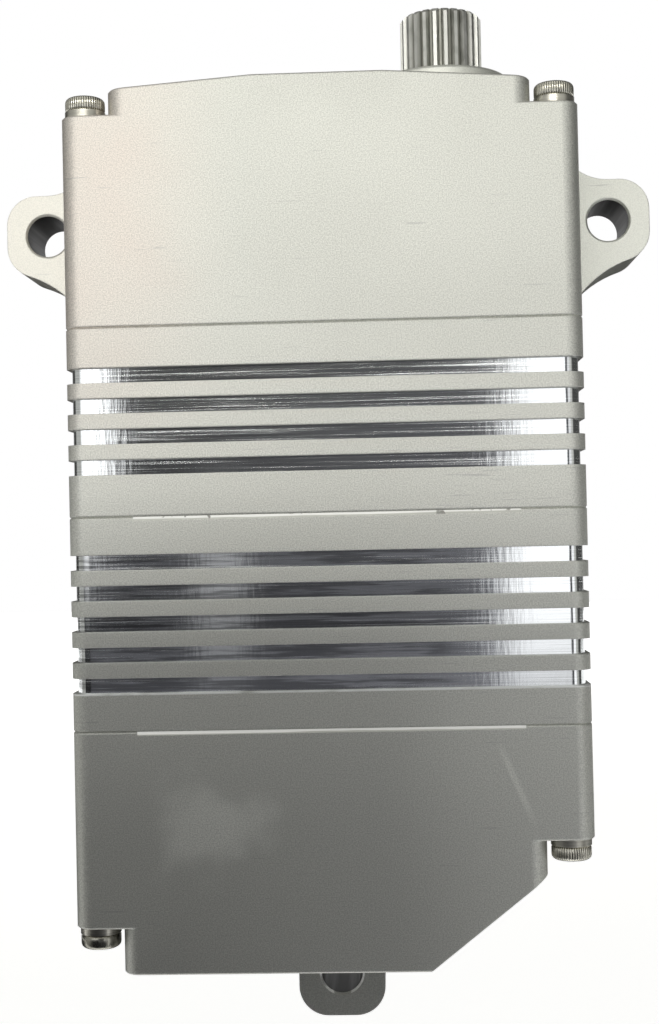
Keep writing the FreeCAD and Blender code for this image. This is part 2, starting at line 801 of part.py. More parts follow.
def make_gear_plate():
    """Plate between the gears and the motor: it holds the pin, the bush and the motor."""
    plate = rounded_block(cavity_left + axial_gap, cavity_right - axial_gap, cavity_half_depth - axial_gap,
                          cavity_corner - axial_gap, plate_bottom, seam_1)
    pinion_tip = stage_1_module * (stage_1_pinion_teeth / 2 + 1)
    holes = [
        cylinder(pin_radius + press_gap, plate_bottom - overcut, seam_1 + overcut, pin_x),
        cylinder(bush_radius + press_gap, plate_bottom - overcut, seam_1 + overcut),
        cylinder(pinion_tip + loose_gap, plate_bottom - overcut, seam_1 + overcut, motor_x),
    ]
    for x, y in motor_screw_places:
        holes.append(cylinder(small_hole_radius, plate_bottom - overcut, seam_1 + overcut, x, y))
        holes.append(cylinder(small_head_radius + axial_gap, seam_1 - small_head_height - axial_gap,
                              seam_1 + overcut, x, y))
    for x, y in plate_screw_places:
        holes.append(cylinder(small_hole_radius, plate_bottom - overcut, seam_1 + overcut, x, y))
    for x, y in spacer_places:
        holes.append(cylinder(small_screw_radius + press_gap, plate_bottom - overcut,
                              plate_bottom + spacer_stud, x, y))
    return plate.cut(holes)


def make_gear_plate_screws():
    screw = cap_screw(small_screw_radius, plate_screw_reach, small_head_radius, small_head_height)
    return [placed(screw, Vector(x, y, seam_1)) for x, y in plate_screw_places]


def make_motor_screws():
    seat = seam_1 - small_head_height - axial_gap
    length = seat - plate_bottom + motor_screw_depth
    screw = cap_screw(small_screw_radius, length, small_head_radius, small_head_height)
    return [placed(screw, Vector(x, y, seat)) for x, y in motor_screw_places]


def make_intermediate_pin():
    return cylinder(pin_radius, plate_bottom, ceiling + pin_seat_depth, pin_x)


def make_thrust_washers():
    """Washers that keep the gears apart: three on the pin and one on the output spigot."""
    pin_bore = pin_radius + running_gap
    spigot_bore = spigot_radius + running_gap
    spigot_washer = spigot_bore + pin_washer_radius - pin_bore
    return [
        ring(pin_washer_radius, pin_bore, seam_1, seam_1 + floor_washer_thickness, pin_x),
        ring(pin_washer_radius, pin_bore, stage_2_top + axial_gap, stage_3_bottom - axial_gap, pin_x),
        ring(pin_washer_radius, pin_bore, ceiling - ceiling_washer_thickness, ceiling, pin_x),
        ring(spigot_washer, spigot_bore, stage_3_top + axial_gap, stage_4_bottom - axial_gap),
    ]


def make_output_bearing_cup():
    inner = journal_radius + 2 * roller_radius
    return ring(inner + bearing_cup_wall, inner, ceiling, bearing_top)


def make_output_bearing_rollers():
    centre = journal_radius + roller_radius
    rollers = []
    for number in range(roller_count):
        place = polar(centre, 2 * math.pi * number / roller_count)
        rollers.append(cylinder(roller_radius - running_gap, ceiling + axial_gap,
                                bearing_top - axial_gap, place.x, place.y))
    return rollers


def make_output_lower_bush():
    """Bronze bush in the gear plate; its neck carries the second compound gear."""
    neck = spigot_radius + running_gap + bush_neck_wall
    body = fused([cylinder(bush_radius, plate_bottom, seam_1),
                  cylinder(neck, seam_1, stage_2_bottom - axial_gap)])
    return body.cut(cylinder(spigot_radius + running_gap, plate_bottom, stage_2_bottom))


def make_output_seal():
    """Lip seal: a ring whose inner edge tapers to a lip round the shaft."""
    high = boss_top - seal_recess
    low = boss_top - seal_depth
    lip = journal_radius + running_gap
    heel = lip + (seal_radius - lip) / 2
    profile = [
        Vector(seal_radius - press_gap, 0, low), Vector(seal_radius - press_gap, 0, high),
        Vector(heel, 0, high), Vector(lip, 0, (low + high) / 2), Vector(heel, 0, low),
    ]
    face = Part.Face(Part.makePolygon(profile + profile[:1]))
    return face.revolve(Vector(0, 0, 0), Vector(0, 0, 1), 360)


def make_output_shaft():
    """Drive spline, bearing journal, flats for the output gear and a long spigot below."""
    journal_top = boss_top + shoulder_height
    spigot_end = magnet_top
    groove_top = plate_bottom - axial_gap
    shaft = fused([
        splined_bar(journal_top, boss_top + spline_height),
        cylinder(journal_radius, stage_4_top, journal_top),
        double_d(journal_radius, gear_seat_flat, stage_4_bottom, stage_4_top),
        cylinder(spigot_radius, spigot_end, stage_4_bottom),
    ])
    groove = ring(spigot_radius + overcut, spigot_radius - clip_groove_depth,
                  groove_top - clip_thickness, groove_top)
    horn_hole = cylinder(horn_hole_radius, boss_top + spline_height - horn_hole_depth,
                         boss_top + spline_height + overcut)
    return shaft.cut([groove, horn_hole])


def make_output_gear():
    seat = double_d(journal_radius + press_gap, gear_seat_flat + press_gap, stage_4_bottom, stage_4_top)
    toothed = gear(stage_4_wheel_teeth, stage_4_module, stage_4_bottom, stage_4_top, 0,
                   180 + 180 / stage_4_wheel_teeth)
    return toothed.cut(seat)


def make_output_magnet():
    return cylinder(magnet_radius, magnet_bottom, magnet_top)


def make_output_retaining_clip():
    top = plate_bottom - axial_gap
    low = top - clip_thickness
    inner = spigot_radius - clip_groove_depth + press_gap
    mouth = block(0, clip_radius + overcut, -clip_mouth / 2, clip_mouth / 2, low, top)
    return ring(clip_radius, inner, low, top).cut(mouth)


def hub_radius(teeth, module):
    """Radius of the plain end of a pinion, just under its teeth, where the wheel is pressed on."""
    return module * (teeth / 2 - tooth_root_depth) - hub_step


def compound_wheel(teeth, module, hub, z_low, z_high, x, mesh_direction):
    toothed = gear(teeth, module, z_low, z_high, x, mesh_direction + 180 / teeth)
    return toothed.cut(cylinder(hub + press_gap, z_low, z_high, x))


def compound_pinion(teeth, module, hub, z_low, z_foot, z_high, x, mesh_direction, bore):
    """Pinion with a plain hub below its teeth, bored to run on a pin."""
    toothed = gear(teeth, module, z_foot, z_high, x, mesh_direction)
    body = fused([toothed, cylinder(hub, z_low, z_foot, x)])
    return body.cut(cylinder(bore + running_gap, z_low, z_high, x))


stage_2_hub = hub_radius(stage_2_pinion_teeth, stage_2_module)
stage_3_hub = hub_radius(stage_3_pinion_teeth, stage_3_module)
stage_4_hub = hub_radius(stage_4_pinion_teeth, stage_4_module)


def make_first_wheel():
    return compound_wheel(stage_1_wheel_teeth, stage_1_module, stage_2_hub, stage_1_bottom, stage_1_top,
                          pin_x, 180)


def make_first_pinion():
    return compound_pinion(stage_2_pinion_teeth, stage_2_module, stage_2_hub, stage_1_bottom, stage_1_top,
                           stage_2_top, pin_x, 0, pin_radius)


def make_second_wheel():
    return compound_wheel(stage_2_wheel_teeth, stage_2_module, stage_3_hub, stage_2_bottom, stage_2_top,
                          0, 180)


def make_second_pinion():
    return compound_pinion(stage_3_pinion_teeth, stage_3_module, stage_3_hub, stage_2_bottom, stage_2_top,
                           stage_3_top, 0, 180, spigot_radius)


def make_third_wheel():
    return compound_wheel(stage_3_wheel_teeth, stage_3_module, stage_4_hub, stage_3_bottom, stage_3_top,
                          pin_x, 0)


def make_third_pinion():
    return compound_pinion(stage_4_pinion_teeth, stage_4_module, stage_4_hub, stage_3_bottom, stage_3_top,
                           stage_4_top, pin_x, 0, pin_radius)


can_top = plate_bottom - flange_thickness
can_bottom = motor_bottom + flange_thickness
can_bore = motor_radius - can_wall
coil_end = coil_overhang + coil_end_room
stator_top = can_top - flange_spigot - coil_end
stator_bottom = can_bottom + flange_spigot + hall_board_thickness + coil_end
rotor_radius = stator_bore_radius - air_gap
rotor_core_radius = rotor_radius - rotor_magnet_thickness
front_bearing_low = can_top - flange_spigot
rear_bearing_high = can_bottom + flange_spigot
shaft_bottom = rear_bearing_high - motor_bearing_width - motor_shaft_end_room


def make_motor_can():
    return ring(motor_radius, can_bore, can_bottom, can_top, motor_x)


def make_motor_front_flange():
    body = fused([cylinder(motor_radius, can_top, plate_bottom, motor_x),
                  cylinder(can_bore - press_gap, can_top - flange_spigot, can_top, motor_x)])
    holes = [
        cylinder(motor_bearing_radius + press_gap, front_bearing_low - overcut,
                 front_bearing_low + motor_bearing_width, motor_x),
        cylinder(motor_shaft_radius + loose_gap, front_bearing_low, plate_bottom + overcut, motor_x),
    ]
    holes += [cylinder(small_screw_radius + press_gap, plate_bottom - motor_screw_depth - small_tap_room,
                       plate_bottom + overcut, x, y) for x, y in motor_screw_places]
    return body.cut(holes)


def make_motor_rear_flange():
    body = fused([cylinder(motor_radius, motor_bottom, can_bottom, motor_x),
                  cylinder(can_bore - press_gap, can_bottom, can_bottom + flange_spigot, motor_x)])
    return body.cut([
        cylinder(motor_bearing_radius + press_gap, rear_bearing_high - motor_bearing_width,
                 rear_bearing_high + overcut, motor_x),
        cylinder(motor_shaft_radius + loose_gap, shaft_bottom - loose_gap, rear_bearing_high, motor_x),
    ])


def make_motor_bearing_outer_rings():
    """Outer rings with a shield at each face."""
    rings = []
    inner_ring = motor_shaft_radius + press_gap + bearing_ring_wall
    race = motor_bearing_radius - bearing_ring_wall
    for low in (front_bearing_low, rear_bearing_high - motor_bearing_width):
        high = low + motor_bearing_width
        body = ring(motor_bearing_radius, inner_ring + running_gap, low, high, motor_x)
        race_room = cylinder(race, low + bearing_shield, high - bearing_shield, motor_x)
        rings.append(body.cut(race_room))
    return rings


def make_motor_bearing_inner_rings():
    rings = []
    bore = motor_shaft_radius + press_gap
    for low in (front_bearing_low, rear_bearing_high - motor_bearing_width):
        rings.append(ring(bore + bearing_ring_wall, bore, low, low + motor_bearing_width, motor_x))
    return rings


def stator_tooth_parts(z_low, z_high):
    """Tooth bar and shoe of the slot that points along +X, about the motor axis."""
    yoke_inner = can_bore - stator_yoke
    half = stator_tooth_width / 2
    shoe_half = stator_shoe_width / 2
    bar = block(stator_bore_radius, yoke_inner + stator_yoke / 2, -half, half, z_low, z_high)
    shoe = block(0, stator_bore_radius + stator_shoe_depth, -shoe_half, shoe_half, z_low, z_high)
    return [bar, shoe.cut(cylinder(stator_bore_radius, z_low, z_high))]


def around_motor(shape, count):
    """Copies of a shape turned evenly about the motor axis."""
    return [placed(shape, Vector(motor_x, 0, 0), Rotation(Vector(0, 0, 1), 360 * number / count))
            for number in range(count)]


def make_stator_core():
    yoke = ring(can_bore - press_gap, can_bore - stator_yoke, stator_bottom, stator_top, motor_x)
    pieces = [yoke]
    for part in stator_tooth_parts(stator_bottom, stator_top):
        pieces += around_motor(part, stator_slots)
    core = fused(pieces)
    return core.cut(cylinder(stator_bore_radius, stator_bottom, stator_top, motor_x))


def make_stator_windings():
    """One coil round each stator tooth, between the shoe and the yoke."""
    half = stator_tooth_width / 2 + coil_thickness
    inner = stator_bore_radius + stator_shoe_depth + axial_gap
    half_slot = math.pi / stator_slots
    outer = (can_bore - stator_yoke) * math.cos(math.asin(half / (can_bore - stator_yoke))) - axial_gap
    low = stator_bottom - coil_overhang
    high = stator_top + coil_overhang
    coil = block(inner, outer, -half, half, low, high)
    # The coil narrows towards the bore, where the slots are tightest
    side = inner * math.tan(half_slot) - axial_gap
    wedge = Part.Face(Part.makePolygon([
        Vector(inner, -min(side, half), low), Vector(outer, -half, low), Vector(outer, half, low),
        Vector(inner, min(side, half), low), Vector(inner, -min(side, half), low),
    ])).extrude(Vector(0, 0, high - low))
    tooth = block(0, can_bore, -stator_tooth_width / 2 - press_gap, stator_tooth_width / 2 + press_gap,
                  stator_bottom - press_gap, stator_top + press_gap)
    return around_motor(coil.common(wedge).cut(tooth), stator_slots)


def make_rotor_core():
    return ring(rotor_core_radius, motor_shaft_radius + press_gap, stator_bottom, stator_top, motor_x)


def make_rotor_magnets():
    """Arc magnets with a narrow gap between the poles."""
    sleeve = ring(rotor_radius, rotor_core_radius + press_gap, stator_bottom, stator_top)
    half_gap = rotor_pole_gap / 2
    sector_angle = 360 / rotor_poles
    sector = Part.makeCylinder(rotor_radius + overcut, stator_top - stator_bottom,
                               Vector(0, 0, stator_bottom), Vector(0, 0, 1), sector_angle)
    arc = sleeve.common(sector)
    first_gap = block(0, rotor_radius + overcut, -half_gap, half_gap, stator_bottom, stator_top)
    last_gap = placed(first_gap, Vector(0, 0, 0), Rotation(Vector(0, 0, 1), sector_angle))
    return around_motor(arc.cut([first_gap, last_gap]), rotor_poles)


def make_motor_shaft():
    return cylinder(motor_shaft_radius, shaft_bottom, stage_1_top, motor_x)


def make_motor_pinion():
    toothed = gear(stage_1_pinion_teeth, stage_1_module, stage_1_bottom, stage_1_top, motor_x, 0)
    return toothed.cut(cylinder(motor_shaft_radius + press_gap, stage_1_bottom, stage_1_top, motor_x))


def make_hall_board():
    """Ring-shaped board on the rear flange that reads the rotor's position."""
    return ring(can_bore - loose_gap, hall_board_bore, rear_bearing_high,
                rear_bearing_high + hall_board_thickness, motor_x)


def make_sensor_board():
    half_width = sensor_board_width / 2
    board = block(-half_width, half_width, -sensor_board_depth / 2, sensor_board_depth / 2,
                  sensor_board_bottom, sensor_board_top)
    return board.cut([cylinder(small_hole_radius, sensor_board_bottom, sensor_board_top, x, y)
                      for x, y in spacer_places])


def make_sensor_chip():
    half = sensor_chip_size / 2
    return block(-half, half, -half, half, sensor_board_top, sensor_board_top + sensor_chip_height)


def make_sensor_spacers():
    """Spacers that hang the sensor board under the gear plate."""
    spacers = []
    tap_top = sensor_board_top + small_screw_length - sensor_board_thickness + small_tap_room
    for x, y in spacer_places:
        body = fused([cylinder(spacer_radius, sensor_board_top, plate_bottom, x, y),
                      cylinder(small_screw_radius, plate_bottom, plate_bottom + spacer_stud, x, y)])
        spacers.append(body.cut(cylinder(small_screw_radius + press_gap, sensor_board_top, tap_top, x, y)))
    return spacers


def wall_board(left, right, front, back, bottom, top, hole_places):
    board = block(left, right, front, back, bottom, top)
    return board.cut([rod(small_hole_radius, x, z, front, back) for x, z in hole_places])


def make_power_board():
    return wall_board(power_left, power_right, power_front, power_back, power_bottom, power_top,
                      power_boss_places)


power_middle_x = (power_left + power_right) / 2
power_middle_z = (power_boss_places[0][1] + power_boss_places[1][1]) / 2


def make_power_transistors():
    """Two rows of three switching transistors on the back of the power board."""
    transistors = []
    for column in (-1, 0, 1):
        for row in (-0.5, 0.5):
            x = power_middle_x + column * transistor_pitch
            z = power_middle_z + row * transistor_pitch
            transistors.append(block(x - transistor_width / 2, x + transistor_width / 2, power_back,
                                     power_back + transistor_height, z - transistor_length / 2,
                                     z + transistor_length / 2))
    return transistors


def make_heat_spreader():
    """Bar that carries the transistors' heat to the finned wall."""
    half_width = transistor_pitch + transistor_width / 2
    return block(power_middle_x - half_width, power_middle_x + half_width, power_back + transistor_height,
                 cavity_half_depth, power_middle_z - spreader_height / 2,
                 power_middle_z + spreader_height / 2)


def make_capacitors():
    z = power_top - capacitor_radius
    return [rod(capacitor_radius, power_middle_x + column * capacitor_pitch, z,
                power_front - capacitor_length, power_front) for column in (-1, 0, 1)]


def make_control_board():
    return wall_board(control_left, control_right, control_front, control_back, control_bottom,
                      control_top, control_boss_places)


def make_control_chips():
    """Processor, two drivers and an inductor on the front of the control board."""
    x = (control_left + control_right) / 2
    z = (control_bottom + control_top) / 2

    def chip(size, height, dx, dz):
        return block(x + dx - size / 2, x + dx + size / 2, control_front - height, control_front,
                     z + dz - size / 2, z + dz + size / 2)

    return [
        chip(processor_size, chip_height, 0, -driver_size),
        chip(driver_size, chip_height, -processor_size, driver_size),
        chip(driver_size, chip_height, 0, driver_size),
        chip(inductor_size, inductor_height, processor_size, driver_size),
    ]


def make_board_screws():
    screw = cap_screw(small_screw_radius, small_screw_length, small_head_radius, small_head_height)
    screws = [placed(screw, Vector(x, power_front, z), head_front) for x, z in power_boss_places]
    screws += [placed(screw, Vector(x, control_front, z), head_front) for x, z in control_boss_places]
    screws += [placed(screw, Vector(x, y, sensor_board_bottom), head_down) for x, y in spacer_places]
    return screws


def make_connector_pins():
    """Contacts in two rows; each runs from its solder tail to just inside the shell's mouth."""
    floor = -connector_recess - connector_pocket
    pins = []
    for row in (-0.5, 0.5):
        for column in range(connector_pins_per_row):
            along = (column - (connector_pins_per_row - 1) / 2) * connector_pin_pitch
            pin = cylinder(connector_pin_radius, -connector_length - connector_tail,
                           floor + connector_pin_height, row * connector_row_pitch, along)
            pins.append(placed(pin, cut_middle, cut_rotation))
    return pins


def make_connector_shell():
    floor = -connector_recess - connector_pocket
    body = slanted_block(connector_width, connector_depth, -connector_length, -connector_recess)
    pocket = slanted_block(connector_width - 2 * connector_wall, connector_depth - 2 * connector_wall,
                           floor, overcut)
    return body.cut([pocket] + make_connector_pins())


makers = {
    "gear_case": make_gear_case,
    "upper_finned_case": make_upper_finned_case,
    "lower_finned_case": make_lower_finned_case,
    "bottom_cover": make_bottom_cover,
    "case_seals": make_case_seals,
    "top_case_screws": make_top_case_screws,
    "bottom_case_screws": make_bottom_case_screws,
    "lock_washers": make_lock_washers,
    "gear_plate": make_gear_plate,
    "gear_plate_screws": make_gear_plate_screws,
    "intermediate_pin": make_intermediate_pin,
    "thrust_washers": make_thrust_washers,
    "output_bearing_cup": make_output_bearing_cup,
    "output_bearing_rollers": make_output_bearing_rollers,
    "output_lower_bush": make_output_lower_bush,
    "output_seal": make_output_seal,
    "output_shaft": make_output_shaft,
    "output_gear": make_output_gear,
    "output_magnet": make_output_magnet,
    "output_retaining_clip": make_output_retaining_clip,
    "first_wheel": make_first_wheel,
    "first_pinion": make_first_pinion,
    "second_wheel": make_second_wheel,
    "second_pinion": make_second_pinion,
    "third_wheel": make_third_wheel,
    "third_pinion": make_third_pinion,
    "motor_can": make_motor_can,
    "motor_front_flange": make_motor_front_flange,
    "motor_rear_flange": make_motor_rear_flange,
    "motor_bearing_outer_rings": make_motor_bearing_outer_rings,
    "motor_bearing_inner_rings": make_motor_bearing_inner_rings,
    "motor_screws": make_motor_screws,
    "stator_core": make_stator_core,
    "stator_windings": make_stator_windings,
    "rotor_core": make_rotor_core,
    "rotor_magnets": make_rotor_magnets,
    "motor_shaft": make_motor_shaft,
    "motor_pinion": make_motor_pinion,
    "hall_board": make_hall_board,
    "sensor_board": make_sensor_board,
    "sensor_chip": make_sensor_chip,
    "sensor_spacers": make_sensor_spacers,
    "power_board": make_power_board,
    "power_transistors": make_power_transistors,
    "heat_spreader": make_heat_spreader,
    "capacitors": make_capacitors,
    "control_board": make_control_board,
    "control_chips": make_control_chips,
    "board_screws": make_board_screws,
    "connector_shell": make_connector_shell,
    "connector_pins": make_connector_pins,
}

os.makedirs("parts", exist_ok=True)
for name, maker in makers.items():
    made = maker()
    shape = Part.makeCompound(made) if isinstance(made, list) else made
    shape.exportStep("parts/" + name + ".step")
    print(name, len(shape.Solids), round(shape.Volume, 1), shape.isValid())
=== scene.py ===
# %% [markdown]
# # A brushless servo in a finned metal case
# The part on the bench is a tall servo: four milled aluminium shells stacked on one another, a bright
# serrated shaft on top, and bolt lugs at its sides and foot. Its solids come from the CAD model. This
# lesson adds what the solids lack: surface finishes, the knurled screws, light, a floor and the camera.

# %% Load the solids
import json
import math
import bmesh
import bpy
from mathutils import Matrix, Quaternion, Vector


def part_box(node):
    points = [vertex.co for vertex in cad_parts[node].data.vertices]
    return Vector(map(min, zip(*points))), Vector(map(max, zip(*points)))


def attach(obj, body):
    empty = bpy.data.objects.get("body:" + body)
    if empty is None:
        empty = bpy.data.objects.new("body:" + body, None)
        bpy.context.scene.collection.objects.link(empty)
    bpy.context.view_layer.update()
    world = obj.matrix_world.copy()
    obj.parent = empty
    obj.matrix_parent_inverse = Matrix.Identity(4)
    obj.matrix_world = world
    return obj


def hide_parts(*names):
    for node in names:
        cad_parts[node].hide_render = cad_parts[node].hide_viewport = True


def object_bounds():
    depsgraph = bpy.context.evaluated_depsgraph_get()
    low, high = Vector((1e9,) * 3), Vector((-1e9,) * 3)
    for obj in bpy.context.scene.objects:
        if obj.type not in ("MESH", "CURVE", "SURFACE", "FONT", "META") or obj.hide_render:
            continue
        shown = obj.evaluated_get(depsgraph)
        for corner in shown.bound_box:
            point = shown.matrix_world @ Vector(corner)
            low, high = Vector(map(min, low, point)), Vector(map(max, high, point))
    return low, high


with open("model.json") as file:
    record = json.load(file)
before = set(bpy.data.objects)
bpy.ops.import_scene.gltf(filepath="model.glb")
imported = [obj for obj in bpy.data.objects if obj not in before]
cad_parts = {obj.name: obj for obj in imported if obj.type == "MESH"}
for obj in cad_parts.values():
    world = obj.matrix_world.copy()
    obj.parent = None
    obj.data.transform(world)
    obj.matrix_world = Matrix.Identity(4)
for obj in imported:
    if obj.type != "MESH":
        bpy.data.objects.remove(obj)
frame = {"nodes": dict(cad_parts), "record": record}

cad_box = [list(corner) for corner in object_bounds()]
solids = frame["nodes"]
MM = 0.001
print("solids:", len(solids), "box:", cad_box)

# %% [markdown]
# ## Short ways to write nodes
# A material in Blender is a tree of nodes. Each one can be added by hand in the editor or by a line of
# Python. The helper called node adds one, sets its options and then fills its inputs: a plain value is
# typed in, and a socket of another node is linked. The other helpers each add one kind of node and return
# the socket that is wanted. That keeps each finish short enough to read.


# %% Node helpers
def node(tree, kind, inputs=None, **options):
    made = tree.nodes.new("ShaderNode" + kind)
    for name, value in options.items():
        setattr(made, name, value)
    for name, value in (inputs or {}).items():
        if isinstance(value, bpy.types.NodeSocket):
            tree.links.new(value, made.inputs[name])
        else:
            made.inputs[name].default_value = value
    return made


def object_place(tree):
    return node(tree, "TexCoord").outputs["Object"]


def mapped(tree, place, scale=(1, 1, 1), turn=(0, 0, 0)):
    return node(tree, "Mapping", {"Vector": place, "Rotation": turn, "Scale": scale}).outputs[0]


def noise(tree, place, scale, detail=2.0, roughness=0.5):
    inputs = {"Vector": place, "Scale": scale, "Detail": detail, "Roughness": roughness}
    return node(tree, "TexNoise", inputs).outputs[0]


def grey(level):
    return (level, level, level, 1.0)


def blend_colours(tree, factor, first, second):
    """A Mix node has its two colours at inputs 6 and 7, and the mixed colour at output 2."""
    inputs = {0: factor, 6: first, 7: second}
    return node(tree, "Mix", inputs, data_type="RGBA").outputs[2]


def scale_colour(tree, colour, factor):
    return node(tree, "VectorMath", {0: colour, "Scale": factor}, operation="SCALE").outputs[0]


print("node helpers ready")

# %% [markdown]
# ## Sums and ramps
# Most of a finish is arithmetic on the place of a point: how high it lies, or how far from a line. A ramp
# turns such a number into a mask that runs smoothly from 0 to 1, and a product of masks is 1 only where
# all of them are. The ramp called fade takes its two ends in millimetres, as the part is measured.


# %% Arithmetic helpers
def math_node(tree, operation, first, second=0.0):
    return node(tree, "Math", {0: first, 1: second}, operation=operation).outputs[0]


def times(tree, *factors):
    product = factors[0]
    for factor in factors[1:]:
        product = math_node(tree, "MULTIPLY", product, factor)
    return product


def plus(tree, first, second):
    return math_node(tree, "ADD", first, second)


def minus(tree, first, second):
    return math_node(tree, "SUBTRACT", first, second)


def larger(tree, first, second):
    return math_node(tree, "MAXIMUM", first, second)


def gap(tree, value, level):
    """How far a value lies from a level, above it or below it."""
    return math_node(tree, "ABSOLUTE", minus(tree, value, level))


def remap(tree, value, low, high, to_low=0.0, to_high=1.0):
    inputs = {"Value": value, "From Min": low, "From Max": high, "To Min": to_low, "To Max": to_high}
    return node(tree, "MapRange", inputs, interpolation_type="SMOOTHSTEP").outputs[0]


def fade(tree, length, start, end, to_low=0.0, to_high=1.0):
    return remap(tree, length, start * MM, end * MM, to_low, to_high)


def split(tree, vector):
    return tuple(node(tree, "SeparateXYZ", {0: vector}).outputs)


def join_axes(tree, x=0.0, y=0.0, z=0.0):
    return node(tree, "CombineXYZ", {0: x, 1: y, 2: z}).outputs[0]


def measure(tree, operation, first, second=(0, 0, 0)):
    """A number from vectors: a length, a distance or a dot product."""
    return node(tree, "VectorMath", {0: first, 1: second}, operation=operation).outputs["Value"]


print("arithmetic helpers ready")

# %% [markdown]
# ## Starting groups and materials
# An effect that several finishes share is made once, as a node group with named inputs and outputs. Every
# finish ends in one Principled BSDF. Its helper makes the material and returns the tree and that shader.
# Values that are the same all over a surface go straight on the shader's sockets, where other programs
# can read them.

# %% Group and material helpers
finishes = {}


def start_group(name, inputs, outputs):
    """Outputs are numbers, apart from those whose names end in normal."""
    group = bpy.data.node_groups.new(name, "ShaderNodeTree")
    for label, value in inputs.items():
        socket = group.interface.new_socket(label, in_out="INPUT", socket_type="NodeSocketFloat")
        socket.default_value = value
    for label in outputs:
        kind = "NodeSocketVector" if label.endswith("normal") else "NodeSocketFloat"
        group.interface.new_socket(label, in_out="OUTPUT", socket_type=kind)
    return group, group.nodes.new("NodeGroupInput"), group.nodes.new("NodeGroupOutput")


def use_group(tree, group, **values):
    made = node(tree, "Group", node_tree=group)
    for label, value in values.items():
        made.inputs[label.replace("_", " ")].default_value = value
    return made.outputs


def start_finish(name, **values):
    made = bpy.data.materials.new(name)
    made.use_nodes = True
    shader = made.node_tree.nodes["Principled BSDF"]
    for label, value in values.items():
        shader.inputs[label.replace("_", " ")].default_value = value
    finishes[name] = made
    return made.node_tree, shader


def link_finish(tree, shader, colour, roughness):
    tree.links.new(colour, shader.inputs["Base Color"])
    tree.links.new(roughness, shader.inputs["Roughness"])


def bump(tree, shader, height, strength, distance, normal=None):
    made = node(tree, "Bump", {"Height": height, "Strength": strength, "Distance": distance})
    if normal:
        tree.links.new(normal, made.inputs["Normal"])
    tree.links.new(made.outputs[0], shader.inputs["Normal"])


print("group and material helpers ready")

# %% [markdown]
# ## Grain left by bead blasting
# The shells were blasted with fine beads before they were anodised, which leaves tiny round dents and a
# soft, sparkling grey. A photo texture would need UV maps and would repeat. A noise in object space needs
# neither, and its scale is the true size of the dents, so one node group serves every blasted face.

# %% Group: blasted grain
SPARKLES_PER_DENT = 1.9
grain_inputs = {"Dents per metre": 3000.0, "Patches per metre": 45.0}
grain_outputs = ["Dents", "Sparkle", "Patches"]
grain_group, grain_in, grain_out = start_group("blasted grain", grain_inputs, grain_outputs)
tree = grain_group
place = object_place(tree)
finer = times(tree, grain_in.outputs[0], SPARKLES_PER_DENT)
dents = noise(tree, place, grain_in.outputs[0], 2.0, 0.6)
sparkle = noise(tree, place, finer, 2.5, 0.7)
patches = noise(tree, place, grain_in.outputs[1], 3.0)
tree.links.new(dents, grain_out.inputs[0])
tree.links.new(remap(tree, sparkle, 0.38, 0.62), grain_out.inputs[1])
tree.links.new(remap(tree, patches, 0.3, 0.7), grain_out.inputs[2])
print("group:", grain_group.name)

# %% [markdown]
# ## Marks of the milling cutter
# The grooves were cut after the blasting, so their floors are bare metal. The cutter ran along each
# groove: it left long streaks that way, and short cross lines where it chattered. Streaks are a noise
# stretched along one direction. Cross lines are a noise that changes fastest along the groove. Adding X
# to Y makes one length that runs round the case.

# %% Group: milling marks
STREAK_CHANGES_PER_METRE = 28.0
LINE_CHANGES_PER_METRE = 220.0
mill_inputs = {"Streaks per metre": 5200.0, "Cross lines per metre": 1500.0}
mill_outputs = ["Streaks", "Cross lines"]
mill_group, mill_in, mill_out = start_group("milling marks", mill_inputs, mill_outputs)
tree = mill_group
x, y, z = split(tree, object_place(tree))
along = plus(tree, x, y)
streak_place = join_axes(tree, x=times(tree, along, STREAK_CHANGES_PER_METRE),
                         z=times(tree, z, mill_in.outputs[0]))
line_place = join_axes(tree, x=times(tree, along, mill_in.outputs[1]),
                       z=times(tree, z, LINE_CHANGES_PER_METRE))
tree.links.new(noise(tree, streak_place, 1.0, 4.0, 0.65), mill_out.inputs[0])
tree.links.new(noise(tree, line_place, 1.0), mill_out.inputs[1])
print("group:", mill_group.name)

# %% [markdown]
# ## Worn edges and edge highlights
# Handling polishes the edges of a metal case first. Painting that by hand would take long on so many
# edges. The Bevel node looks a little way round each point and gives the normal of a rounded edge. Where
# that differs from the flat normal, the point is near an edge. The group puts out that difference as a
# mask, and the rounded normal itself, so that an edge that is sharp in the solid catches the light as a
# slightly broken edge does. The blasted finish paints its edges lighter with the mask: worn metal, and in
# part a painted highlight.

# %% Group: worn and highlighted edges
edge_wear_highlight_group, edge_wear_highlight_in, edge_wear_highlight_out = start_group("worn and highlighted edges", {"Reach": 0.25 * MM}, ["Edge", "Rounded normal"])
tree = edge_wear_highlight_group
rounded = node(tree, "Bevel", {"Radius": edge_wear_highlight_in.outputs[0]}, samples=4).outputs[0]
flat = node(tree, "NewGeometry").outputs["True Normal"]
alike = measure(tree, "DOT_PRODUCT", rounded, flat)
tree.links.new(remap(tree, alike, 0.995, 0.80), edge_wear_highlight_out.inputs[0])
tree.links.new(rounded, edge_wear_highlight_out.inputs[1])
print("group:", edge_wear_highlight_group.name)
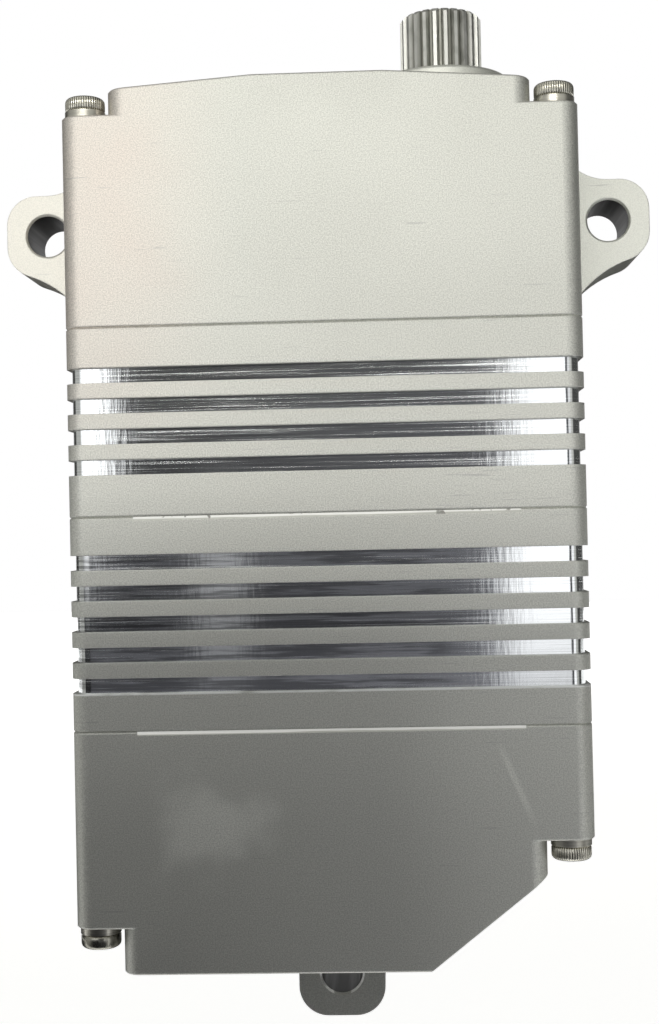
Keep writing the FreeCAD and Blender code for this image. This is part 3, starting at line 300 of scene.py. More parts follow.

# %% [markdown]
# ## Blasted and anodised aluminium
# The shells are a warm silver grey. As a metal, the surface has almost no colour of its own: what it
# shows is a blurred picture of the room, broken up by the grain. The upper left is a little pinker where
# a hand holds it. The side lugs and the boss are painted paler: painted light that lifts them above what
# the lamp gives them. Ramps along x and z find these places.

# %% Blasted aluminium: colours
SILVER = ((0.575, 0.58, 0.545, 1), (0.765, 0.77, 0.725, 1))
PINK_SILVER = ((0.645, 0.597, 0.553, 1), (0.845, 0.778, 0.722, 1))
PAINTED_LIGHT_SILVER = (0.90, 0.91, 0.85, 1)
CASE_MIDDLE = -17.75 * MM
tree, shader = start_finish("blasted aluminium", Metallic=1.0)
grain = use_group(tree, grain_group)
edge_wear_highlight = use_group(tree, edge_wear_highlight_group)
place = object_place(tree)
x, y, z = split(tree, place)
patchy = remap(tree, grain["Patches"], 0.0, 1.0, 0.5, 0.9)
handled = times(tree, fade(tree, x, -28, -46), fade(tree, z, -62, -30), patchy)
base = blend_colours(tree, grain["Sparkle"], *SILVER)
base = blend_colours(tree, handled, base, blend_colours(tree, grain["Sparkle"], *PINK_SILVER))
# Painted light: the side lugs and the boss are painted paler than the shells.
on_lugs = fade(tree, gap(tree, x, CASE_MIDDLE), 35.8, 36.2)
on_boss = fade(tree, z, -2.7, -2.4)
painted_light_on_lugs_and_boss = times(tree, larger(tree, on_lugs, on_boss), 0.55)
base = blend_colours(tree, painted_light_on_lugs_and_boss, base, PAINTED_LIGHT_SILVER)
print("blasted aluminium: colours")

# %% [markdown]
# ## Scratches and bright edges
# The finish goes on in the same tree. Faint scratches are the peaks of a noise that is stretched sideways
# and tilted a little. Where the case was rubbed, the noise is raised, so that more of it counts as a peak
# and the scratches lie closer. The edges are painted brighter than the faces: worn metal, and in part a
# painted highlight.

# %% Blasted aluminium: scratches
SCRATCH_TILT = math.radians(2)
SCRATCHES_PER_METRE = (130, 130, 3400)
scratch_noise = noise(tree, mapped(tree, place, SCRATCHES_PER_METRE, (0, SCRATCH_TILT, 0)), 1.0, 1.0)
rubbed = times(tree, fade(tree, z, -66, -61), fade(tree, z, -55, -58), fade(tree, x, -8, 4, 0.0, 0.10))
scratch = remap(tree, plus(tree, scratch_noise, rubbed), 0.74, 0.80)
base = blend_colours(tree, times(tree, scratch, 0.4), base, grey(0.42))
# Edges painted lighter: worn metal, and in part a painted highlight.
base = blend_colours(tree, times(tree, edge_wear_highlight["Edge"], 0.5), base, grey(0.82))
print("blasted aluminium: scratches and edges")

# %% [markdown]
# ## Marks of handling, and painted shade
# The front has a pale thumb mark at the lower left and one slanting scuff at the lower right. The mark
# fades with the distance from a spot, and a noise added to that distance makes its outline ragged. The
# scuff fades with the distance from a line. The lower left is a little darker, and the foot lug is painted
# darker still: painted shade, where it sits set back under the case.

# %% Blasted aluminium: marks
THUMB_SPOT = (-34 * MM, 0, -106 * MM)
THUMB_RAGGED = 16 * MM
ACROSS_SCUFF = (0.922, 0, 0.387)
SCUFF_LINE = -32.15 * MM
in_front = fade(tree, y, -10, -14)
from_thumb = measure(tree, "DISTANCE", join_axes(tree, x=x, z=z), THUMB_SPOT)
ragged = times(tree, minus(tree, 0.5, noise(tree, place, 110.0)), THUMB_RAGGED)
thumb = fade(tree, plus(tree, from_thumb, ragged), 10, 1)
from_scuff = gap(tree, measure(tree, "DOT_PRODUCT", place, ACROSS_SCUFF), SCUFF_LINE)
scuff_height = times(tree, fade(tree, z, -93, -98), fade(tree, z, -109, -102))
scuff = times(tree, fade(tree, from_scuff, 0.8, 0.1, 0.0, 0.65), scuff_height)
marked = times(tree, larger(tree, thumb, scuff), in_front)
# Painted shade: the foot lug, set back under the case, is painted darker.
foot_lug_painted_shade = times(tree, fade(tree, z, -125.9, -126.3, 0.0, 0.36), fade(tree, y, 14, 7))
# Darker at the lower left.
darker_lower_left = times(tree, fade(tree, z, -70, -86, 0.0, 0.10), fade(tree, x, 4, -12), in_front)
marks_and_painted_shade = minus(tree, remap(tree, marked, 0.0, 1.0, 1.0, 1.24), larger(tree, foot_lug_painted_shade, darker_lower_left))
base = scale_colour(tree, base, marks_and_painted_shade)
print("blasted aluminium: marks of handling")

# %% [markdown]
# ## A painted highlight line, and the links to the shader
# Under the lowest groove a thin bright line is painted along the edge: a painted highlight that a noise
# breaks up. The colour is then complete and goes to the shader. A roughness near 0.55 blurs the lamp into
# one soft fall from top to bottom.

# %% Blasted aluminium: painted highlight line and shader
HIGHLIGHT_LINE_LEVEL = -87.46 * MM
PAINTED_HIGHLIGHT_WHITE = (0.97, 0.98, 0.97, 1)
# Painted highlight: a thin bright line along the edge under the lowest groove.
broken = remap(tree, noise(tree, place, 160.0), 0.3, 0.5)
painted_highlight_line = times(tree, fade(tree, gap(tree, z, HIGHLIGHT_LINE_LEVEL), 0.22, 0.08), broken)
base = blend_colours(tree, times(tree, painted_highlight_line, 0.9), base, PAINTED_HIGHLIGHT_WHITE)
link_finish(tree, shader, base, remap(tree, grain["Patches"], 0.0, 1.0, 0.55, 0.57))
bump(tree, shader, grain["Dents"], 0.22, 0.06 * MM, edge_wear_highlight["Rounded normal"])
print("finish: blasted aluminium")

# %% [markdown]
# ## Bare milled aluminium
# The groove floors are mirror-like along the cutter's path and streaky across it. Anisotropy stretches
# their reflections up and down, and the milling marks vary the roughness and the height. The lower
# grooves are stained where coolant dried, and the middle of the uppermost ones is painted darker: painted
# shade that dims the lamp's reflection there.

# %% Finish: milled aluminium
FRESH_CUT = ((0.66, 0.68, 0.69, 1), (0.93, 0.955, 0.965, 1))
STAINS_PER_METRE = (75, 75, 1500)
tree, shader = start_finish("milled aluminium", Metallic=1.0, Anisotropic=0.67, Anisotropic_Rotation=0.25)
marks = use_group(tree, mill_group)
place = object_place(tree)
x, _, z = split(tree, place)
base = blend_colours(tree, remap(tree, marks["Streaks"], 0.3, 0.7), *FRESH_CUT)
stain_noise = noise(tree, mapped(tree, place, STAINS_PER_METRE), 1.0, 3.0, 0.6)
off_right = fade(tree, x, 3, -6)
stained = times(tree, fade(tree, z, -64, -70), off_right)
stain = times(tree, remap(tree, stain_noise, 0.38, 0.60), stained)
middle = times(tree, off_right, fade(tree, x, -50, -40))
# Painted shade: the middle of the uppermost grooves is darkened against the lamp's reflection.
upper_painted_shade = times(tree, fade(tree, z, -50, -42, 0.0, 0.32), middle)
clear = minus(tree, remap(tree, stain, 0.0, 1.0, 1.0, 0.5), upper_painted_shade)
rough = remap(tree, marks["Streaks"], 0.48, 0.74, 0.10, 0.31)
link_finish(tree, shader, scale_colour(tree, base, clear), rough)
height = plus(tree, times(tree, marks["Streaks"], 0.15), marks["Cross lines"])
bump(tree, shader, height, 0.3, 0.03 * MM)
tangent = node(tree, "Tangent", direction_type="RADIAL", axis="Z").outputs[0]
tree.links.new(tangent, shader.inputs["Tangent"])
print("finish: milled aluminium")

# %% [markdown]
# ## Bright shaft steel
# The output shaft is ground and polished, and the valleys between its teeth are darker. The distance
# from the shaft's axis tells crest from valley, so a ramp over that length paints the valleys dark. The
# end face and everything inside the case keep the steel colour: they are told apart by the way they face
# and by their height.

# %% Finish: serrated shaft steel
DARK_VALLEY_STEEL = (0.17, 0.17, 0.145, 1)
SHAFT_STEEL = ((0.56, 0.565, 0.535, 1), (0.72, 0.72, 0.69, 1))
tree, shader = start_finish("serrated shaft steel", Metallic=1.0)
place = object_place(tree)
x, y, z = split(tree, place)
crest = fade(tree, measure(tree, "LENGTH", join_axes(tree, x=x, y=y)), 5.0, 5.7)
facing_up = split(tree, node(tree, "NewGeometry").outputs["True Normal"])[2]
keeps_steel_colour = larger(tree, remap(tree, facing_up, 0.5, 0.8), fade(tree, z, 0.2, -0.2))
smears = noise(tree, place, 420.0, 3.0)
steel = blend_colours(tree, remap(tree, smears, 0.35, 0.65), *SHAFT_STEEL)
# The valleys between the teeth are darker; the end face and the inside keep the steel colour.
base = blend_colours(tree, larger(tree, crest, keeps_steel_colour), DARK_VALLEY_STEEL, steel)
link_finish(tree, shader, base, remap(tree, smears, 0.3, 0.7, 0.38, 0.50))
print("finish: serrated shaft steel")

# %% [markdown]
# ## Plain metals
# Screws, gears, pins and flanges differ in colour and polish only, so one function makes them all: a
# turned or ground metal with fine streaks round its axis and a few smears.


# %% Finishes: plain metals
def plain_metal(name, dark, light, smooth, rough, streaks=2400.0, depth=0.12):
    tree, shader = start_finish(name, Metallic=1.0)
    marks = use_group(tree, mill_group, Streaks_per_metre=streaks)
    grain = use_group(tree, grain_group, Dents_per_metre=3200.0, Patches_per_metre=160.0)
    tone = blend_colours(tree, remap(tree, marks["Streaks"], 0.3, 0.7), (*dark, 1), (*light, 1))
    link_finish(tree, shader, tone, remap(tree, grain["Patches"], 0.0, 1.0, smooth, rough))
    bump(tree, shader, marks["Streaks"], depth, 0.02 * MM)


plain_metal("screw steel", (0.46, 0.45, 0.42), (0.64, 0.63, 0.60), 0.14, 0.24)
plain_metal("spring steel", (0.42, 0.41, 0.37), (0.66, 0.64, 0.57), 0.30, 0.42)
plain_metal("ground steel", (0.55, 0.55, 0.54), (0.70, 0.70, 0.69), 0.12, 0.22)
plain_metal("gear steel", (0.36, 0.36, 0.35), (0.50, 0.50, 0.48), 0.22, 0.36)
plain_metal("plate aluminium", (0.66, 0.66, 0.66), (0.80, 0.80, 0.80), 0.26, 0.38)
plain_metal("motor steel", (0.24, 0.24, 0.25), (0.38, 0.38, 0.39), 0.28, 0.42)
plain_metal("sintered bronze", (0.40, 0.25, 0.11), (0.62, 0.42, 0.20), 0.30, 0.45)
plain_metal("nickel plate", (0.62, 0.60, 0.56), (0.78, 0.76, 0.72), 0.08, 0.16)
plain_metal("contact gold", (0.70, 0.48, 0.16), (0.86, 0.66, 0.30), 0.16, 0.28)
plain_metal("enamelled copper", (0.34, 0.12, 0.04), (0.62, 0.26, 0.10), 0.24, 0.38,
            streaks=5200.0, depth=0.5)
print("finishes so far:", sorted(finishes))

# %% [markdown]
# ## Rubber, plastic and circuit boards
# These are not metals. They share the blasted grain as a fine moulded texture, and the boards get copper
# tracks under their green lacquer: a brick texture with thin joints makes believable straight runs.


# %% Finishes: rubber, plastic and boards
def moulded(name, dark, light, smooth, rough, depth=0.15):
    tree, shader = start_finish(name)
    grain = use_group(tree, grain_group, Dents_per_metre=4200.0, Patches_per_metre=120.0)
    tone = blend_colours(tree, grain["Patches"], (*dark, 1), (*light, 1))
    link_finish(tree, shader, tone, remap(tree, grain["Sparkle"], 0.0, 1.0, smooth, rough))
    bump(tree, shader, grain["Dents"], depth, 0.04 * MM)


moulded("seal rubber", (0.012, 0.012, 0.012), (0.03, 0.03, 0.03), 0.6, 0.75)
moulded("chip black", (0.012, 0.012, 0.013), (0.028, 0.028, 0.03), 0.42, 0.55)
moulded("capacitor sleeve", (0.012, 0.014, 0.03), (0.022, 0.025, 0.05), 0.22, 0.3, depth=0.05)
moulded("connector plastic", (0.014, 0.014, 0.014), (0.034, 0.034, 0.034), 0.4, 0.5)

LACQUER = ((0.012, 0.10, 0.045, 1), (0.035, 0.19, 0.085, 1))
tree, shader = start_finish("board green")
laid_flat = mapped(tree, object_place(tree), turn=(math.radians(90), 0, 0))
bricks = {"Vector": laid_flat, "Scale": 420.0, "Mortar Size": 0.06}
colours = {"Color1": grey(0.0), "Color2": grey(0.0), "Mortar": grey(1.0)}
tracks = node(tree, "TexBrick", bricks | colours).outputs["Color"]
link_finish(tree, shader, blend_colours(tree, tracks, *LACQUER), remap(tree, tracks, 0.0, 1.0, 0.34, 0.26))
bump(tree, shader, tracks, 0.3, 0.04 * MM)
print("finishes:", len(finishes))

# %% [markdown]
# ## Putting finishes on the solids
# Each solid keeps its shape and gets one finish. A table from finish to solids shows at a glance what is
# made of what.

# %% Dress the solids
made_of = {
    "blasted aluminium": ["gear_case", "upper_finned_case", "lower_finned_case", "bottom_cover"],
    "serrated shaft steel": ["output_shaft"],
    "spring steel": ["lock_washers"],
    "screw steel": ["gear_plate_screws", "motor_screws", "board_screws"],
    "ground steel": ["motor_shaft", "intermediate_pin", "output_retaining_clip", "output_bearing_cup",
                     "output_bearing_rollers", "motor_bearing_outer_rings", "motor_bearing_inner_rings",
                     "thrust_washers"],
    "gear steel": ["output_gear", "first_wheel", "first_pinion", "second_wheel", "second_pinion",
                   "third_wheel", "third_pinion", "motor_pinion"],
    "plate aluminium": ["gear_plate", "motor_front_flange", "motor_rear_flange", "heat_spreader",
                        "sensor_spacers"],
    "sintered bronze": ["output_lower_bush"],
    "seal rubber": ["case_seals", "output_seal"],
    "motor steel": ["motor_can", "stator_core", "rotor_core"],
    "enamelled copper": ["stator_windings"],
    "nickel plate": ["output_magnet", "rotor_magnets"],
    "board green": ["hall_board", "sensor_board", "power_board", "control_board"],
    "chip black": ["sensor_chip", "power_transistors", "control_chips"],
    "capacitor sleeve": ["capacitors"],
    "connector plastic": ["connector_shell"],
    "contact gold": ["connector_pins"],
}
for finish, names in made_of.items():
    for name in names:
        solids[name].data.materials.clear()
        solids[name].data.materials.append(finishes[finish])
print("dressed:", sum(len(names) for names in made_of.values()))

# %% [markdown]
# ## Two finishes on one shell
# The finned shells are blasted outside and bare in the grooves. A second material slot does that: every
# face that lies below the outer skin, but not inside the cavity, takes the new slot. The faces are found
# by their depth under the skin, so no face has to be picked by hand.

# %% Bare metal in the grooves
CORNER = 2.4 * MM
GROOVE_TOP = 0.15 * MM
GROOVE_FLOOR = 2.2 * MM
PLAIN_RIM = 3 * MM


def depth_under_skin(spot, low, high):
    """How far a point lies inside the rounded outline of a shell, seen from above."""
    across = abs(spot.x - (low[0] + high[0]) / 2) - (high[0] - low[0]) / 2 + CORNER
    along = abs(spot.y) - high[1] + CORNER
    outside = math.hypot(max(across, 0), max(along, 0)) + min(max(across, along), 0)
    return CORNER - outside


def add_finish(name, finish, belongs):
    """Give a second finish to the faces of a solid that belong to it."""
    mesh = solids[name].data
    mesh.materials.append(finishes[finish])
    chosen = [face for face in mesh.polygons if belongs(face)]
    for face in chosen:
        face.material_index = len(mesh.materials) - 1
    print(name, finish, "faces:", len(chosen))


for name in ("upper_finned_case", "lower_finned_case"):
    low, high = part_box(name)

    def in_groove(face):
        depth = depth_under_skin(face.center, low, high)
        rim = min(face.center.z - low[2], high[2] - face.center.z)
        return GROOVE_TOP < depth < GROOVE_FLOOR and rim > PLAIN_RIM and abs(face.normal.z) < 0.5

    add_finish(name, "milled aluminium", in_groove)

# %% [markdown]
# ## Bright bevels at the seams
# Two of the shells have a small bevel along the front and the back of their upper edge, a place to push a
# blade in when the case is opened. It was cut last and shines as a bright line, with a few nicks from the
# blade. Below a thin band along the seam the bevel is painted darker, which narrows its bright reflection
# to a thin line: a painted shaping of the highlight. It is rougher than the grooves, so that it catches
# the lamp from further off. Its faces lean back by 22 degrees and lie just under the seam.

# %% Bright bevels
SCRAPED = ((0.90, 0.91, 0.89, 1), (0.98, 0.98, 0.96, 1))
DARKER_BELOW_LINE = (0.55, 0.55, 0.52, 1)
NICKED = (0.30, 0.30, 0.28, 1)
BEVEL_TALL = 0.6 * MM
bevelled = ("lower_finned_case", "bottom_cover")
tree, shader = start_finish("scraped bevel", Metallic=1.0)
marks = use_group(tree, mill_group)
place = object_place(tree)
z = split(tree, place)[2]
below_seam = math_node(tree, "MINIMUM", *[gap(tree, z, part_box(name)[1][2]) for name in bevelled])
line_width = remap(tree, noise(tree, place, 45.0, 3.0), 0.35, 0.65, 0.20 * MM, 0.40 * MM)
past_line = fade(tree, minus(tree, below_seam, line_width), -0.06, 0.06)
nicks = remap(tree, noise(tree, place, 480.0), 0.66, 0.71)
base = blend_colours(tree, remap(tree, marks["Streaks"], 0.3, 0.7), *SCRAPED)
# Painted darker below a thin band at the seam, narrowing the bright reflection to a thin line.
base = blend_colours(tree, past_line, base, DARKER_BELOW_LINE)
base = blend_colours(tree, nicks, base, NICKED)
link_finish(tree, shader, base, remap(tree, marks["Cross lines"], 0.3, 0.7, 0.36, 0.44))

for name in bevelled:
    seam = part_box(name)[1][2]

    def on_bevel(face):
        leans = 0.3 < face.normal.z < 0.45 and abs(face.normal.y) > 0.85
        return leans and seam - face.center.z < BEVEL_TALL

    add_finish(name, "scraped bevel", on_bevel)

# %% [markdown]
# ## Bores of the lugs
# The bolt holes were drilled after the blasting too. Their walls are painted dark as the shade inside the
# holes, and the wall of the hole in the foot lug is painted black. That hole has a paler, smoother rim at
# both sides: a painted highlight. The record of the part says where each hole is, so the faces of its wall
# and rim are found by their distance from the wall.

# %% Bores in painted shade
WALL_REACH = 0.03 * MM
RIM_REACH = 0.3 * MM


def bore_finish(name, dark, light, **values):
    tree, shader = start_finish(name, **values)
    marks = use_group(tree, mill_group, Streaks_per_metre=2600.0)
    tone = blend_colours(tree, remap(tree, marks["Streaks"], 0.3, 0.7), (*dark, 1), (*light, 1))
    link_finish(tree, shader, tone, remap(tree, marks["Streaks"], 0.3, 0.7, 0.42, 0.55))
    bump(tree, shader, marks["Streaks"], 0.3, 0.04 * MM)


# Bore walls painted dark: painted shade inside the bolt holes.
bore_finish("bore in painted shade", (0.022, 0.020, 0.019), (0.05, 0.047, 0.045), Metallic=0.6)
bore_finish("foot bore in painted shade", (0.010, 0.010, 0.008), (0.022, 0.022, 0.018), Specular_IOR_Level=0.1)
holes = [mount for mount in frame["record"]["mounts"] if mount["kind"] == "bore"]


def outside_bore(face):
    """How far a face lies outside the wall of the nearest bolt hole."""
    gaps = []
    for hole in holes:
        x, _, z = hole["pos_m"]
        gaps.append(math.hypot(face.center.x - x, face.center.z - z) - hole["dims"]["r_mm"] * MM)
    return min(gaps)


def in_bore(face):
    return outside_bore(face) < WALL_REACH and abs(face.normal.y) < 0.3


def on_rim(face):
    slants = 0.5 < abs(face.normal.y) < 0.9 and abs(face.normal.x) > 0.28
    return slants and outside_bore(face) < RIM_REACH


add_finish("gear_case", "bore in painted shade", in_bore)
add_finish("bottom_cover", "foot bore in painted shade", in_bore)
# The rim of the foot-lug hole takes a paler metal: a painted highlight.
add_finish("bottom_cover", "plate aluminium", on_rim)

# %% [markdown]
# ## Steel for knurled heads
# The case screws have round heads with fine straight knurling. Each point of their mesh will remember
# whether it lies on a crest, in an attribute that an Attribute node can read. The finish darkens the
# valleys with it.

# %% Finish: knurled steel
DARK_KNURL_VALLEYS = (0.05, 0.05, 0.04, 1)
CREST_STEEL = ((0.60, 0.58, 0.50, 1), (0.84, 0.82, 0.73, 1))
tree, shader = start_finish("knurled steel", Metallic=1.0)
crest = node(tree, "Attribute", attribute_name="crest").outputs["Fac"]
marks = use_group(tree, mill_group, Streaks_per_metre=2400.0)
bright = blend_colours(tree, remap(tree, marks["Streaks"], 0.3, 0.7), *CREST_STEEL)
# The valleys of the knurling are darker.
base = blend_colours(tree, remap(tree, crest, 0.0, 0.8), DARK_KNURL_VALLEYS, bright)
link_finish(tree, shader, base, remap(tree, marks["Cross lines"], 0.3, 0.7, 0.20, 0.32))
bump(tree, shader, marks["Streaks"], 0.12, 0.02 * MM)
print("finish: knurled steel")

# %% [markdown]
# ## Rings of points
# The CAD screw has a plain head. Here a screw is spun up from rings of points. Three small functions give
# the shape of a ring: round, ridged or a hexagon. In a ridged ring the points go in and out like a wave,
# four of them to a ridge.

# %% Rings of a screw
RIDGES = 48
STEPS = RIDGES * 4
WAVE = (0.0, 0.8, 1.0, 0.8)
PLAIN_CREST = 0.35
SHANK_RADIUS = 1.5 * MM
HEAD_RADIUS = 2.75 * MM
HEAD_TALL = 2.0 * MM
DOME = 0.7 * MM
KEY_MOUTH = 2.7 * MM
KEY_FLATS = 2.5 * MM
KEY_DEEP = 1.2 * MM


def add_ring(work, reach_of, height, crest_of=None):
    points = []
    crest = work.verts.layers.float.get("crest") or work.verts.layers.float.new("crest")
    for step in range(STEPS):
        turn = 2 * math.pi * step / STEPS
        reach = reach_of(step, turn)
        point = work.verts.new((reach * math.cos(turn), reach * math.sin(turn), height))
        point[crest] = crest_of[step % len(crest_of)] if crest_of else 1.0
        points.append(point)
    return points


def plain(radius):
    return lambda step, turn: radius


def ridged(radius, depth):
    return lambda step, turn: radius - depth * (1 - WAVE[step % len(WAVE)])


def hexagon(across_flats):
    side, half_side = math.radians(60), math.radians(30)
    return lambda step, turn: across_flats / 2 / math.cos((turn % side) - half_side)


print("a ring has", STEPS, "points")

# %% [markdown]
# ## From rings to a screw
# The rings run from the tip of the screw up its head and down into the key's hexagon. The upper edge of
# the head is rounded over several rings, and the ridges get shallower there. Faces then join each ring to
# the next.


# %% Screw mesh
def screw_rings(work, length, knurl):
    crests = WAVE if knurl else (PLAIN_CREST,)
    rings = [
        add_ring(work, plain(SHANK_RADIUS * 0.8), -length),
        add_ring(work, plain(SHANK_RADIUS), -length + 0.4 * MM),
        add_ring(work, plain(SHANK_RADIUS), 0.0),
        add_ring(work, plain(HEAD_RADIUS - 0.45 * MM), 0.0),
        add_ring(work, ridged(HEAD_RADIUS - 0.2 * MM, knurl * 0.6), 0.1 * MM, crests),
        add_ring(work, ridged(HEAD_RADIUS, knurl), 0.35 * MM, crests),
        add_ring(work, ridged(HEAD_RADIUS, knurl), HEAD_TALL - DOME - 0.05 * MM, crests),
    ]
    for share in (0.2, 0.4, 0.6, 0.8, 1.0):
        lean = share * math.pi / 2
        radius = HEAD_RADIUS - DOME * (1 - math.cos(lean))
        height = HEAD_TALL - DOME + DOME * math.sin(lean)
        rings.append(add_ring(work, ridged(radius, knurl * (1.0 - share)), height,
                              crests if share < 0.6 else None))
    rings.append(add_ring(work, hexagon(KEY_MOUTH), HEAD_TALL))
    rings.append(add_ring(work, hexagon(KEY_FLATS), HEAD_TALL - 0.1 * MM))
    rings.append(add_ring(work, hexagon(KEY_FLATS), HEAD_TALL - KEY_DEEP))
    return rings


def screw_mesh(name, length, knurl):
    work = bmesh.new()
    rings = screw_rings(work, length, knurl)
    for lower, upper in zip(rings, rings[1:]):
        for step in range(STEPS):
            after = (step + 1) % STEPS
            work.faces.new((lower[step], lower[after], upper[after], upper[step]))
    work.faces.new(list(reversed(rings[0])))
    work.faces.new(rings[-1])
    for face in work.faces:
        face.smooth = True
    mesh = bpy.data.meshes.new(name)
    work.to_mesh(mesh)
    work.free()
    mesh.materials.append(finishes["knurled steel"])
    return mesh


print("screw heads have", RIDGES, "ridges")

# %% [markdown]
# ## Joining screws
# Four screws become one object, which moves with the casing and replaces the plain CAD screws. Those that
# come from below are turned over, and each one is turned about its axis by an angle of its own.


# %% Screw placing helpers
def join_as(name, pieces):
    bpy.ops.object.select_all(action="DESELECT")
    for piece in pieces:
        piece.select_set(True)
    bpy.context.view_layer.objects.active = pieces[0]
    bpy.ops.object.join()
    pieces[0].name = name
    bpy.ops.object.transform_apply(location=True, rotation=True, scale=True)
    return pieces[0]


def place_screws(name, node_name, spots, point_up):
    pieces = []
    for number, (x, y, seat, tip, knurl) in enumerate(spots):
        mesh = screw_mesh(f"{name}_{number}", abs(seat - tip), knurl)
        screw = bpy.data.objects.new(f"{name}_{number}", mesh)
        bpy.context.scene.collection.objects.link(screw)
        screw.location = (x, y, seat)
        screw.rotation_euler = (0, 0, number) if point_up else (math.pi, 0, number)
        pieces.append(screw)
    group = join_as(name, pieces)
    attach(group, "casing")
    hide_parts(node_name)


print("screw placing helpers ready")

# %% [markdown]
# ## Eight screws in their places
# The boxes of the CAD screws and washers tell where each screw stands. One head at the lower left has no
# knurling and is dark all over. The washers keep their CAD shape and get rounded edges from a Bevel
# modifier.

# %% Place the screws
WASHER_RADIUS = 2.8 * MM
KNURL = 0.13 * MM
SMOOTH = 0.0
NOTCH_STEP = 11.2 * MM
washer_low, washer_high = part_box("lock_washers")
left_x, right_x = washer_low[0] + WASHER_RADIUS, washer_high[0] - WASHER_RADIUS
front_y, back_y = washer_low[1] + WASHER_RADIUS, washer_high[1] - WASHER_RADIUS
top_low, top_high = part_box("top_case_screws")
bottom_low, bottom_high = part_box("bottom_case_screws")
top_seat = top_high[2] - HEAD_TALL
left_seat = bottom_low[2] + HEAD_TALL
right_seat = left_seat + NOTCH_STEP
corners = [(x, y) for x in (left_x, right_x) for y in (front_y, back_y)]
top_spots = [(x, y, top_seat, top_low[2], KNURL) for x, y in corners]
bottom_spots = []
for x, y in corners:
    seat = left_seat if x == left_x else right_seat
    knurl = SMOOTH if (x, y) == (left_x, front_y) else KNURL
    bottom_spots.append((x, y, seat, bottom_high[2], knurl))
place_screws("knurled_top_screws", "top_case_screws", top_spots, True)
place_screws("knurled_bottom_screws", "bottom_case_screws", bottom_spots, False)
rounding = solids["lock_washers"].modifiers.new("rounded edges", "BEVEL")
rounding.width = 0.22 * MM
rounding.segments = 3
print("screws at", [[round(v, 5) for v in corner] for corner in corners])

# %% [markdown]
# ## The room that the metal mirrors
# Metal looks like what stands around it. The world's background gives the distant room, drawn by
# direction: medium bright in front and on the left, brighter overhead, and dim underneath, at the far
# right and towards the back. The camera sees a white backdrop instead, and so do reflections that look
# straight behind the part.


# %% The room
def ray_masks(tree):
    """Whether a ray comes from the camera, and whether it comes by way of a mirror or through glass."""
    rays = node(tree, "LightPath").outputs
    return rays["Is Camera Ray"], larger(tree, rays["Is Glossy Ray"], rays["Is Transmission Ray"])


room = bpy.data.worlds.new("studio room")
bpy.context.scene.world = room
room.use_nodes = True
tree = room.node_tree
background = tree.nodes["Background"]
side, ahead, up = split(tree, node(tree, "TexCoord").outputs["Generated"])
above_floor = remap(tree, up, -0.5, 0.1, 0.15, 0.64)
overhead = remap(tree, up, 0.6, 0.9, 1.0, 1.3)
far_left = remap(tree, side, -0.95, -0.55, 0.75, 1.0)
turned = plus(tree, ahead, times(tree, side, remap(tree, side, -0.3, 0.3, 0.2, 0.5)))
to_back = remap(tree, turned, -0.15, 0.15, 1.0, 0.12)
level = times(tree, above_floor, overhead, far_left, to_back)
warm = node(tree, "CombineColor", {0: level, 1: level, 2: times(tree, level, 0.95)}).outputs[0]
from_camera, mirrored = ray_masks(tree)
straight_behind = times(tree, mirrored, remap(tree, ahead, 0.7, 0.9))
backdrop = larger(tree, from_camera, straight_behind)
tree.links.new(blend_colours(tree, backdrop, warm, grey(1.0)), background.inputs["Color"])
background.inputs["Strength"].default_value = 1.0
print("room:", room.name)

# %% [markdown]
# ## Sheets of the studio
# A lamp over the edge of a dark card, flags and a floor stand around the part. Each one is a flat sheet
# with a finish of its own. An unseen sheet lights the part and stays out of the picture.


# %% Sheet helpers
def flat_sheet(name, corners, finish, seen=True):
    work = bmesh.new()
    work.faces.new([work.verts.new(spot) for spot in corners])
    mesh = bpy.data.meshes.new(name)
    work.to_mesh(mesh)
    work.free()
    mesh.materials.append(finishes[finish])
    sheet = bpy.data.objects.new(name, mesh)
    bpy.context.scene.collection.objects.link(sheet)
    sheet.visible_camera = seen
    return sheet


def upright(y, left, right, bottom, top):
    return (left, y, bottom), (right, y, bottom), (right, y, top), (left, y, top)


def lying(z, left, right, front, back):
    return (left, front, z), (right, front, z), (right, back, z), (left, back, z)


print("sheet helpers ready")

# %% [markdown]
# ## A card that glows at its sides
# The card is dark where it faces the middle, so the bright grooves mirror a dark stripe with one pale
# patch in it. It glows at both sides, so that the ends of the grooves go white. Two faint strips across
# its middle part keep the lower grooves from going black. The camera looks through it.

# %% The card
CARD_Y = -150 * MM
CARD_LEFT = -240 * MM
CARD_RIGHT = 150 * MM
CARD_BOTTOM = -350 * MM
CARD_TOP = -19.7 * MM
tree, shader = start_finish("glowing card", Base_Color=grey(0.02), Roughness=0.9, Emission_Strength=1.0)
x, _, z = split(tree, object_place(tree))
leaning = minus(tree, x, fade(tree, z, -52, -72, 0.0, -7 * MM))
left_side = times(tree, fade(tree, leaning, -67, -75), fade(tree, z, -88, -54, 0.0, 1.77))
left_side = times(tree, left_side, fade(tree, leaning, -240, -120, 0.5, 1.0))
slanted = minus(tree, x, times(tree, z, 0.045))
right_side = times(tree, fade(tree, slanted, 14.2, 25.4), fade(tree, x, 62, 52))
right_side = times(tree, right_side, fade(tree, z, -122, -77, 0.0, 1.32))
far_right = times(tree, fade(tree, x, 78, 90), fade(tree, z, -52, -80, 0.8, 1.1))
patch = times(tree, fade(tree, x, -56, -49), fade(tree, x, -38, -45))
patch = times(tree, patch, fade(tree, z, -112, -72, 0.0, 0.3), fade(tree, z, -52, -64))
glow = plus(tree, larger(tree, left_side, larger(tree, right_side, far_right)), patch)
low_strip = times(tree, fade(tree, z, -108, -102), fade(tree, z, -87, -95, 0.0, 0.115))
